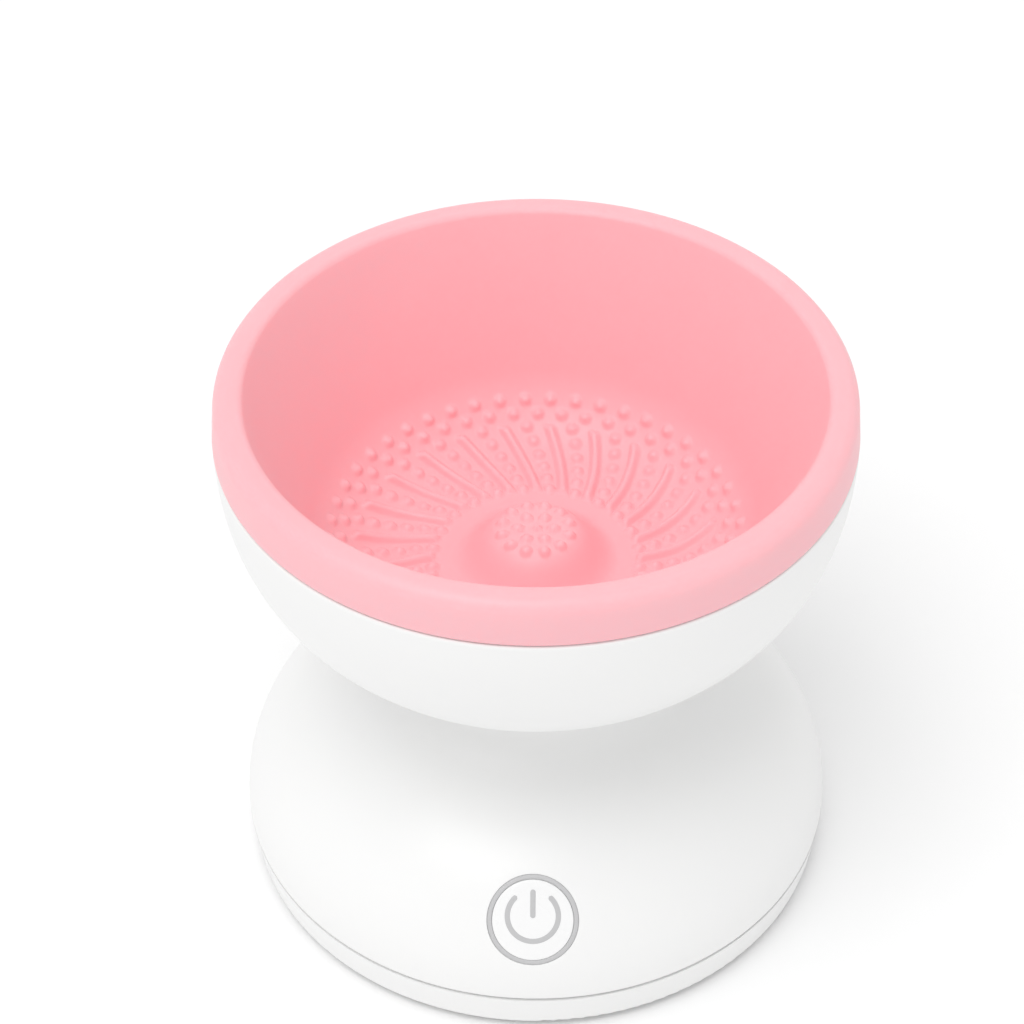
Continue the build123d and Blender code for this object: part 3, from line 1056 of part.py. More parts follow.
motor_lead_red = lead(
    (*red_start, terminal_z),
    (*red_clear, terminal_z),
    (-15.5, 21.0, 9.5),
    (-7.2, 25.6, lead_z - 0.2),
    (HEADER_PINS[0][0], header_front_y, lead_z),
)
motor_lead_red.part.label = "motor_lead_red"
export_step(motor_lead_red.part, "parts/motor_lead_red.step")

motor_lead_black = lead(
    (*black_start, terminal_z),
    (*black_clear, terminal_z),
    (-4.8, 19.0, 10.0),
    (-3.9, 25.0, lead_z - 0.2),
    (HEADER_PINS[0][1], header_front_y, lead_z),
)
motor_lead_black.part.label = "motor_lead_black"
export_step(motor_lead_black.part, "parts/motor_lead_black.step")

switch_lead_parts = []
for offset_x, end_x in zip(SWITCH_PADS, HEADER_PINS[1]):
    start = switch_back_plane.from_local_coords((offset_x, 0, 0))
    clear = switch_back_plane.from_local_coords((offset_x, 0, -SWITCH_LEAD_CLEAR))
    switch_wire = lead(
        tuple(start),
        tuple(clear),
        (offset_x + 7.0, -26.0, 8.8),
        (offset_x + 12.0, -9.0, 6.2),
        (offset_x + 10.5, 9.0, 7.0),
        (offset_x + 4.5, 22.0, 12.4),
        (end_x, header_front_y, lead_z),
    )
    switch_lead_parts.append(switch_wire.part)

with BuildPart() as switch_leads:
    for wire_part in switch_lead_parts:
        add(wire_part)
switch_leads.part.label = "switch_leads"
export_step(switch_leads.part, "parts/switch_leads.step")
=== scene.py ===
"""Looks of an electric make-up brush cleaner: a silicone cup that spins in a waisted white body.

Metres, +Z up, the front with its power button facing -Y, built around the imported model's bodies.
Sizes in the classes are millimetres, and each surface is turned to metres as it is put into a mesh.
"""
import logging
import math
from dataclasses import dataclass, field
from enum import Enum

import bmesh
import bpy
import numpy as np
from mathutils import Matrix, Vector


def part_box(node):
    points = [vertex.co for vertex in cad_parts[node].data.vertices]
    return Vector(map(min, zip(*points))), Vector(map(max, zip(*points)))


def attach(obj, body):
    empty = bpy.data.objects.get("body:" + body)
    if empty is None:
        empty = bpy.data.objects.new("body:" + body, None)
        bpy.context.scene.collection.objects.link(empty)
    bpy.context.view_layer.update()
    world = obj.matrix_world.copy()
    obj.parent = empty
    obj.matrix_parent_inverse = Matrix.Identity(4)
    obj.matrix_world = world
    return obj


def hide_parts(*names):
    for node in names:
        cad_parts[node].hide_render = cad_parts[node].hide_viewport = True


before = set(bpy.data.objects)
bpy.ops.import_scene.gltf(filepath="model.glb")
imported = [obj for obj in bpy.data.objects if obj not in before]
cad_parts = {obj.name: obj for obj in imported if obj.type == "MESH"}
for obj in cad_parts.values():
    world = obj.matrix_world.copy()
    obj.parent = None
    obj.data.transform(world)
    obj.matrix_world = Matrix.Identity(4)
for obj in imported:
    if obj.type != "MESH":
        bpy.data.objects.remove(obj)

MM = 0.001
WELD = 1e-6  # distance in metres within which the corners of a mesh are joined
SAME_POINT = 1e-6  # distance in millimetres within which two points of an outline are one
ROUGHNESS_DRIFT = 0.03  # how far each finish's roughness strays from its mean
NOISE_LOW, NOISE_HIGH = 0.3, 0.7  # the values between which most of a noise lies
SLOW_DETAIL, FINE_DETAIL = 3.0, 2.0  # octaves of the slow drift and of the fine grain
LOG = logging.getLogger("brush_cleaner")
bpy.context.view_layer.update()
Array = np.ndarray
Piece, Node = bpy.types.Object, bpy.types.Node
Tree, Socket = bpy.types.NodeTree, bpy.types.NodeSocket
Point = tuple[float, float, float]
Ring = tuple[float, int, float]  # a ring of nubs: its place, their number and their phase
Window = tuple[float, float, int]  # from and to, as shares of a height, and a number of columns


# ---- nodes and colours
def linear(code: str) -> tuple[float, float, float, float]:
    """Linear colour of an sRGB hex value.

    Args:
        code: six hex digits, such as "f4f4f2".

    Returns:
        Red, green, blue and an alpha of 1.
    """
    parts = [int(code[start : start + 2], 16) / 255 for start in (0, 2, 4)]
    shades = [v / 12.92 if v <= 0.04045 else ((v + 0.055) / 1.055) ** 2.4 for v in parts]
    return (shades[0], shades[1], shades[2], 1.0)


def add_node(
    tree: Tree, kind: str, settings: dict | None = None, links: dict | None = None
) -> Node:
    """Adds a node with its settings and its incoming links.

    Args:
        tree: the material's node tree.
        kind: the node's class name, without its "ShaderNode" start.
        settings: attributes of the node by name, and values of its inputs by name or number.
        links: output sockets by the name or number of the input they feed.

    Returns:
        The new node.
    """
    node = tree.nodes.new("ShaderNode" + kind)
    for key, value in (settings or {}).items():
        if isinstance(key, str) and key in node.bl_rna.properties:
            setattr(node, key, value)
        else:
            node.inputs[key].default_value = value
    for key, socket in (links or {}).items():
        tree.links.new(socket, node.inputs[key])
    return node


# ---- finishes
@dataclass(frozen=True)
class Finish:
    """One surface finish: a colour, the shader's constants and a procedural texture.

    Attributes:
        name: the material's common name and how its surface was made.
        colour: sRGB hex value of the clean surface.
        roughness: mean roughness.
        shade: sRGB hex value that the colour drifts towards in its faint variation.
        grain: size in millimetres of the surface's texture.
        relief: height in millimetres of that texture.
        drift: size in millimetres of the colour's slow variation.
        settings: constants set straight on the shader's sockets.
    """

    name: str
    colour: str
    roughness: float
    shade: str
    grain: float = 0.6
    relief: float = 0.004
    drift: float = 18.0
    settings: tuple[tuple[str, object], ...] = ()

    def material(self) -> bpy.types.Material:
        """The finish as a material, made once and shared."""
        found = bpy.data.materials.get(self.name)
        if found is not None:
            return found
        material = bpy.data.materials.new(self.name)
        material.use_nodes = True
        tree = material.node_tree
        tree.nodes.clear()
        shader = add_node(tree, "BsdfPrincipled", dict(self.settings))
        add_node(tree, "OutputMaterial", links={"Surface": shader.outputs["BSDF"]})
        self.texture(tree, shader)
        return material

    def place(self, tree: Tree) -> Socket:
        """Object coordinates, which are the part's own frame in metres."""
        return add_node(tree, "TexCoord").outputs["Object"]

    def cover(
        self, tree: Tree, shader: Node, colours: tuple[str, str], share: Socket, height: Socket
    ) -> None:
        """Feeds the shader a blend of two colours and a relief.

        Args:
            tree: the material's node tree.
            shader: its Principled shader.
            colours: sRGB hex values at shares of 0 and 1.
            share: the socket that blends them.
            height: the socket that raises the relief.
        """
        blend = {"data_type": "RGBA", 6: linear(colours[0]), 7: linear(colours[1])}
        tint = add_node(tree, "Mix", blend, {0: share})
        depth = {"Strength": 1.0, "Distance": self.relief * MM}
        bump = add_node(tree, "Bump", depth, {"Height": height})
        tree.links.new(tint.outputs[2], shader.inputs["Base Color"])
        tree.links.new(bump.outputs["Normal"], shader.inputs["Normal"])

    def texture(self, tree: Tree, shader: Node) -> None:
        """Adds a slow drift of colour, a drift of roughness and a fine relief.

        Args:
            tree: the material's node tree.
            shader: its Principled shader.
        """
        place = self.place(tree)
        slow, fine = (
            add_node(
                tree, "TexNoise", {"Scale": 1 / (size * MM), "Detail": detail}, {"Vector": place}
            )
            for size, detail in ((self.drift, SLOW_DETAIL), (self.grain, FINE_DETAIL))
        )
        least, most = self.roughness - ROUGHNESS_DRIFT, self.roughness + ROUGHNESS_DRIFT
        spread = {"From Min": NOISE_LOW, "From Max": NOISE_HIGH, "To Min": least, "To Max": most}
        gloss = add_node(tree, "MapRange", spread, {"Value": slow.outputs["Fac"]})
        tree.links.new(gloss.outputs["Result"], shader.inputs["Roughness"])
        colours = (self.colour, self.shade)
        self.cover(tree, shader, colours, slow.outputs["Fac"], fine.outputs["Fac"])


@dataclass(frozen=True)
class LinedMetal(Finish):
    """Metal with fine lines left by drawing, turning or grinding.

    Attributes:
        stretch: how much longer than wide its lines are, along X, Y and Z.
    """

    stretch: tuple[float, float, float] = (1.0, 1.0, 14.0)

    def place(self, tree: Tree) -> Socket:
        """Object coordinates squeezed, so that the noise is drawn out into lines."""
        scale = {"Scale": tuple(1 / s for s in self.stretch)}
        place = add_node(tree, "TexCoord").outputs["Object"]
        return add_node(tree, "Mapping", scale, {"Vector": place}).outputs["Vector"]


@dataclass(frozen=True)
class BandedFinish(Finish):
    """A surface with even bands along one axis: wire turns, laminations or copper tracks.

    Attributes:
        pitch: distance in millimetres from one band to the next.
        axis: the axis that the bands follow each other along.
        band: sRGB hex value of the line between two bands.
        share: distance from the line's middle to where it has faded out, over the pitch.
    """

    pitch: float = 0.35
    axis: str = "Z"
    band: str = "202020"
    share: float = 0.3

    def texture(self, tree: Tree, shader: Node) -> None:
        """Adds the bands: the distance to the nearest whole pitch, faded out by the line's share.

        Args:
            tree: the material's node tree.
            shader: its Principled shader.
        """
        split = add_node(tree, "SeparateXYZ", links={"Vector": self.place(tree)})
        turns = add_node(
            tree, "Math", {"operation": "DIVIDE", 1: self.pitch * MM}, {0: split.outputs[self.axis]}
        )
        saw = add_node(tree, "Math", {"operation": "FRACT"}, {0: turns.outputs[0]})
        swing = add_node(tree, "Math", {"operation": "PINGPONG", 1: 0.5}, {0: saw.outputs[0]})
        line = add_node(
            tree, "MapRange", {"From Min": 0.0, "From Max": self.share}, {"Value": swing.outputs[0]}
        )
        shader.inputs["Roughness"].default_value = self.roughness
        share = line.outputs["Result"]
        self.cover(tree, shader, (self.band, self.colour), share, share)


def shader_settings(**values: object) -> tuple[tuple[str, object], ...]:
    """Socket constants from keyword names, with an underscore for each space."""
    return tuple((name.replace("_", " "), value) for name, value in values.items())


METAL = shader_settings(Metallic=1.0)
SOFT_SILICONE = shader_settings(
    IOR=1.43, Subsurface_Weight=0.35, Subsurface_Radius=(1.0, 0.3, 0.3), Subsurface_Scale=0.003
)


class Surface(Enum):
    """Every finish of the object, by what it is and how it was made."""

    # ABS, injection moulded in a fine-sparked tool: bright, with a soft wide sheen. The spark grain
    # is about 0.1 mm, drawn at 0.5 mm so that it shows.
    WHITE_ABS = Finish(
        "moulded_white_abs", "f2f2f1", 0.34, "efefef", 0.5, 0.0015, 40.0, shader_settings(IOR=1.5)
    )
    # ABS, moulded against a polished insert: a tighter sheen than the body's.
    BUTTON_ABS = Finish(
        "moulded_button_abs", "f3f3f3", 0.28, "f0f0f0", 0.5, 0.0008, 12.0, shader_settings(IOR=1.5)
    )
    # Liquid silicone, moulded: satin, and slightly translucent, so that light softens its edges.
    PINK_SILICONE = Finish(
        "moulded_pink_silicone", "ffbfc5", 0.42, "ffb9c0", 0.8, 0.004, 30.0, SOFT_SILICONE
    )
    # ABS, moulded as a second shot in the cap: flat even grey with a dull sheen.
    SYMBOL_ABS = Finish("moulded_grey_abs", "c1c1c2", 0.4, "bdbdbe", 0.5, 0.001, 10.0)
    # Silicone, moulded as a gasket: pale grey with a soft satin crown.
    GREY_SILICONE = Finish("moulded_grey_silicone", "c5c5c6", 0.45, "c0c0c1", 0.6, 0.002, 8.0)
    # Thermoplastic rubber, moulded: matt, with a fine pebble.
    GREY_RUBBER = Finish("moulded_grey_rubber", "c4c4c2", 0.7, "b6b6b4", 0.5, 0.02, 6.0)
    # Glass-filled nylon, moulded: dark and dry, with a haze of fibres at the surface.
    GLASS_NYLON = Finish("moulded_glass_nylon", "3d4044", 0.55, "4a4d51", 0.4, 0.01, 3.0)
    # Unfilled nylon, moulded: creamy, with a blurred gloss.
    NATURAL_NYLON = Finish("moulded_natural_nylon", "e9e6dc", 0.45, "dedacd", 0.5, 0.004, 8.0)
    # Acetal, moulded: waxy off-white.
    ACETAL = Finish("moulded_acetal", "f0eee6", 0.36, "e7e4da", 0.6, 0.002, 10.0)
    # Epoxy, moulded over chips: near black, with a fine dull grain.
    BLACK_EPOXY = Finish("moulded_black_epoxy", "17171a", 0.5, "222226", 0.2, 0.004, 1.5)
    # Nitrile rubber, moulded: black and matt, with a little bloom.
    NITRILE = Finish("moulded_black_nitrile", "141414", 0.6, "1d1d1d", 0.4, 0.006, 4.0)
    # PVC, extruded over wire: smooth, with a plain soft gloss.
    RED_LEAD = Finish("extruded_red_pvc", "b3151b", 0.4, "a81218", 0.4, 0.002, 6.0)
    BLACK_LEAD = Finish("extruded_black_pvc", "16161a", 0.42, "1e1e22", 0.4, 0.002, 6.0)
    # Ferrite, sintered: dry, rough and grey-black.
    FERRITE = Finish("sintered_ferrite", "2b2b2e", 0.65, "35353a", 0.3, 0.012, 3.0)
    # Bronze, sintered and oil filled: speckled brown gold. Pores of about 0.1 mm, drawn at 0.25 mm.
    BRONZE = Finish("sintered_bronze", "a9855a", 0.42, "8c6b45", 0.25, 0.01, 3.0, METAL)
    # Steel, ground: bright, with fine lines along the shaft.
    GROUND_STEEL = LinedMetal("ground_steel", "c4c6c9", 0.22, "b4b6ba", 0.12, 0.002, 6.0, METAL)
    # Steel, zinc plated: cool grey with a cloudy shine.
    ZINC_STEEL = LinedMetal(
        "zinc_plated_steel", "bfc2c6", 0.3, "a9adb3", 0.3, 0.003, 4.0, METAL, (1.0, 1.0, 3.0)
    )
    # Aluminium, drawn into cans: pale, with lines up its sides.
    DRAWN_ALUMINIUM = LinedMetal(
        "drawn_aluminium", "cfd2d6", 0.3, "c2c6cb", 0.15, 0.003, 4.0, METAL
    )
    # Brass, stamped or turned: warm yellow and fairly bright.
    BRASS = LinedMetal("stamped_brass", "d9b56b", 0.28, "caa258", 0.2, 0.002, 3.0, METAL)
    # Stainless steel, drawn: bright, with lines into the socket.
    SOCKET_STEEL = LinedMetal(
        "drawn_stainless_steel", "c9cacc", 0.26, "babcbe", 0.2, 0.002, 4.0, METAL, (1.0, 12.0, 1.0)
    )
    # Copper wire, 0.3 mm, enamelled and wound: red-brown turns 0.35 mm apart with dark gaps.
    WOUND_COPPER = BandedFinish(
        "wound_copper", "b5653a", 0.3, "a4572f", 0.3, 0.05, 4.0, METAL, 0.35, "Z", "4a2413", 0.35
    )
    # Electrical steel, stamped 0.5 mm thick and stacked: grey with dark edges in even lines.
    LAMINATIONS = BandedFinish(
        "stacked_steel", "8f9195", 0.4, "85878b", 0.3, 0.02, 4.0, METAL, 0.5, "Z", "3f4043", 0.2
    )
    # Glass laminate under a printed solder mask: glossy green, with 0.4 mm tracks showing through.
    SOLDER_MASK = BandedFinish(
        "green_solder_mask", "1c6b3f", 0.3, "175c36", 0.3, 0.01, 4.0, (), 1.6, "X", "2c8a53", 0.12
    )
    # Card, painted: matt and near white.
    PALE_CARD = Finish("pale_card", "fbfbfb", 0.9, "f8f8f8", 2.0, 0.002, 120.0)


def paint(piece: Piece, surface: Surface) -> Piece:
    """Gives a piece one finish, in its material slots.

    Args:
        piece: a CAD node's object or a new piece.
        surface: the finish.

    Returns:
        The piece.
    """
    material = surface.value.material()
    if not piece.material_slots:
        piece.data.materials.append(material)
    for slot in piece.material_slots:
        slot.material = material
    return piece


Finishes = dict[Surface, tuple[str, ...]]


def finish_nodes(finishes: Finishes) -> None:
    """Gives CAD nodes their finishes, by the names under each finish."""
    for surface, names in finishes.items():
        for name in names:
            paint(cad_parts[name], surface)


# ---- outlines and surfaces
def line(start: tuple[float, float], end: tuple[float, float], steps: int = 2) -> Array:
    """Points on a straight run: start + t (end - start), t from 0 to 1."""
    return np.linspace(start, end, steps)


def arc(centre: tuple[float, float], radius: float, first: float, last: float, steps: int) -> Array:
    """Points on an arc: centre + radius (cos a, sin a), a in degrees from first to last."""
    angles = np.radians(np.linspace(first, last, steps))
    return np.stack((centre[0] + radius * np.cos(angles), centre[1] + radius * np.sin(angles)), 1)


def bend(start: Array, pull_start: Array, pull_end: Array, end: Array, steps: int) -> Array:
    """Points on a cubic Bezier curve, the sum of its four points weighted by (1-t) and t."""
    t = np.linspace(0, 1, steps)[:, None]
    points = [np.asarray(p, float) for p in (start, pull_start, pull_end, end)]
    weights = ((1 - t) ** 3, 3 * t * (1 - t) ** 2, 3 * t * t * (1 - t), t**3)
    return sum(weight * point for weight, point in zip(weights, points))


def chain(*runs: Array) -> Array:
    """One outline from several runs, with no point twice in a row."""
    points = np.concatenate(runs)
    apart = np.linalg.norm(np.diff(points, axis=0), axis=1) > SAME_POINT
    return points[np.concatenate(([True], apart))]


def heading(points: Array) -> Array:
    """Unit direction of an outline's last step."""
    step = points[-1] - points[-2]
    return step / np.linalg.norm(step)


def round_trip(segments: int) -> Array:
    """Bearings in even steps once round, from 0, in radians."""
    return np.linspace(0, 2 * np.pi, segments, endpoint=False)


def turned(outline: Array, segments: int) -> Array:
    """A surface of revolution: (r cos a, r sin a, z) for each outline point and each bearing a.

    Args:
        outline: rows of r and z.
        segments: how many bearings go round.

    Returns:
        Points with a row for each outline point and a column for each bearing.
    """
    bearings = round_trip(segments)
    r, z = outline[:, :1], outline[:, 1:]
    return np.stack((r * np.cos(bearings), r * np.sin(bearings), z + 0 * bearings), 2)


def cells(rows: int, columns: int, close_rows: bool) -> Array:
    """Corner numbers of a grid's four-sided cells, the last column's reaching the first."""
    row = np.arange(rows if close_rows else rows - 1)[:, None]
    column = np.arange(columns)[None, :]
    below, above = row, (row + 1) % rows
    left, right = column, (column + 1) % columns
    pairs = ((below, left), (below, right), (above, right), (above, left))
    return np.stack(np.broadcast_arrays(*(r * columns + c for r, c in pairs)), 2)


@dataclass
class Skin:
    """Grids of points in millimetres that together close one piece.

    Attributes:
        name: the piece's name.
        points: the grids' points so far.
        faces: the grids' faces so far, as corner numbers.
        count: how many points there are so far.
    """

    name: str
    points: list[Array] = field(default_factory=list)
    faces: list[Array] = field(default_factory=list)
    count: int = 0

    def add(self, grid: Array, close_rows: bool = False, keep: Array | None = None) -> "Skin":
        """Adds one grid, whose last column joins its first.

        Args:
            grid: points with a row and a column number.
            close_rows: whether the last row joins the first.
            keep: True for each cell that is there, False where another grid fills it.

        Returns:
            The skin itself.
        """
        rows, columns = grid.shape[:2]
        corners = cells(rows, columns, close_rows)
        chosen = corners[keep] if keep is not None else corners.reshape(-1, 4)
        self.points.append(grid.reshape(-1, 3))
        self.faces.append(chosen + self.count)
        self.count += rows * columns
        return self

    def build(self, sharp: float = 38.0) -> Piece:
        """Puts the grids into one mesh with shared edges joined and faces outwards.

        Args:
            sharp: angle in degrees past which an edge is drawn as a crease.

        Returns:
            The new piece, at the origin.
        """
        mesh = bpy.data.meshes.new(self.name)
        points = np.concatenate(self.points) * MM
        mesh.from_pydata(points.tolist(), [], np.concatenate(self.faces).tolist())
        shape = bmesh.new()
        shape.from_mesh(mesh)
        stray = [corner for corner in shape.verts if not corner.link_faces]
        bmesh.ops.delete(shape, geom=stray, context="VERTS")
        bmesh.ops.remove_doubles(shape, verts=shape.verts, dist=WELD)
        bmesh.ops.recalc_face_normals(shape, faces=shape.faces)
        if shape.calc_volume(signed=True) < 0:
            bmesh.ops.reverse_faces(shape, faces=shape.faces)
        shape.to_mesh(mesh)
        shape.free()
        mesh.shade_smooth()
        mesh.set_sharp_from_angle(angle=math.radians(sharp))
        piece = bpy.data.objects.new(self.name, mesh)
        bpy.context.scene.collection.objects.link(piece)
        LOG.info("%s: %d faces", self.name, len(mesh.polygons))
        return piece


def settle(piece: Piece, body: str, slot: str, *nodes: str) -> Piece:
    """Makes a piece ride on a body and stand for CAD nodes, which it hides."""
    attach(piece, body)
    if nodes:
        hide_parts(*nodes)
    return piece


DEEPEST = 0.999  # share of a body curve's depth at which it is taken to end
LOWEST, HIGHEST, HALVINGS = -12.0, 8.0, 36  # heights searched for the body, and halvings


@dataclass(frozen=True)
class BodyCurve:
    """Outline of a body moulding: (r / radius) ** across + (drop / depth) ** down = 1.

    Attributes:
        radius: radius at the rim.
        depth: depth of the whole curve.
        across: exponent of the radius.
        rim_z: height of the rim.
        sense: 1 where the curve rises from its rim, -1 where it hangs.
        down: exponent of the drop.
    """

    radius: float
    depth: float
    across: float
    rim_z: float
    sense: int
    down: float = 2.2

    def outline(self, drops: Array, inset: float = 0.0) -> Array:
        """Points at shares of the depth, moved inwards square to the curve.

        Args:
            drops: shares of the depth, from 0 at the rim.
            inset: distance inwards in millimetres.

        Returns:
            Rows of r and z.
        """
        rest = 1 - drops**self.down
        r = self.radius * rest ** (1 / self.across)
        slope = -self.radius / self.across * rest ** (1 / self.across - 1)
        slope = slope * self.down * drops ** (self.down - 1)
        length = np.hypot(slope, self.depth)
        z = self.rim_z + self.sense * self.depth * drops
        shift = (-inset * self.depth / length, inset * self.sense * slope / length)
        return np.stack((r + shift[0], z + shift[1]), 1)

    def radius_at(self, z: Array) -> Array:
        """Radius of the curve at heights."""
        drop = np.clip((z - self.rim_z) * self.sense / self.depth, 0, DEEPEST)
        return self.radius * (1 - drop**self.down) ** (1 / self.across)


@dataclass(frozen=True)
class Tilted:
    """A plane on the body: an origin and its across, up and out directions, in millimetres."""

    origin: Array
    across: Array
    up: Array
    out: Array

    def lift(self, a: Array, b: Array, height: Array) -> Array:
        """Points at origin + a across + b up + height out."""
        a, b, height = (v[..., None] for v in np.broadcast_arrays(a, b, height))
        return self.origin + a * self.across + b * self.up + height * self.out

    def height_on(self, curve: BodyCurve, a: Array, b: Array) -> Array:
        """Height over the plane at which (a, b) meets the body, by halving an interval.

        Args:
            curve: the body's outline.
            a: places across the plane.
            b: places up the plane.

        Returns:
            The heights.
        """
        low, high = np.full(np.shape(a), LOWEST), np.full(np.shape(a), HIGHEST)
        for _ in range(HALVINGS):
            middle = (low + high) / 2
            points = self.lift(a, b, middle)
            outside = np.hypot(points[..., 0], points[..., 1]) > curve.radius_at(points[..., 2])
            high = np.where(outside, middle, high)
            low = np.where(outside, low, middle)
        return (low + high) / 2


DOME = BodyCurve(58.0, 35.0, 2.0, 9.1, 1)
BOWL = BodyCurve(58.5, 43.7, 3.2, 102.8, -1)
WALL = 2.2
NECK_RADIUS, NECK_Z = 23.0, 52.0
BODY_PULL, NECK_PULL = 4.6, 4.2  # how far the body's curve and the neck reach into their blend
JOINT_BEVEL = 0.25  # bevel of the two shells where they meet round the neck
BUTTON_DROP = 16.4 / DOME.depth  # the button's middle, as a share of the dome's height


def button_plane() -> Tilted:
    """The plane of the power button: its middle on the dome at the front, square to it."""
    (r, z), = DOME.outline(np.array([BUTTON_DROP]))
    (inner_r, inner_z), = DOME.outline(np.array([BUTTON_DROP]), 1.0)
    out = np.array([0.0, inner_r - r, z - inner_z])
    across = np.array([1.0, 0.0, 0.0])
    return Tilted(np.array([0.0, -r, z]), across, np.cross(out, across), out)


def socket_plane() -> Tilted:
    """The upright plane of the charging socket, where its middle meets the dome at the rear."""
    low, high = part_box("usb_socket")
    z = (low.z + high.z) / 2 / MM
    origin = np.array([0.0, float(DOME.radius_at(np.array(z))), z])
    across, up, out = np.array([-1.0, 0, 0]), np.array([0, 0, 1.0]), np.array([0, 1.0, 0])
    return Tilted(origin, across, up, out)


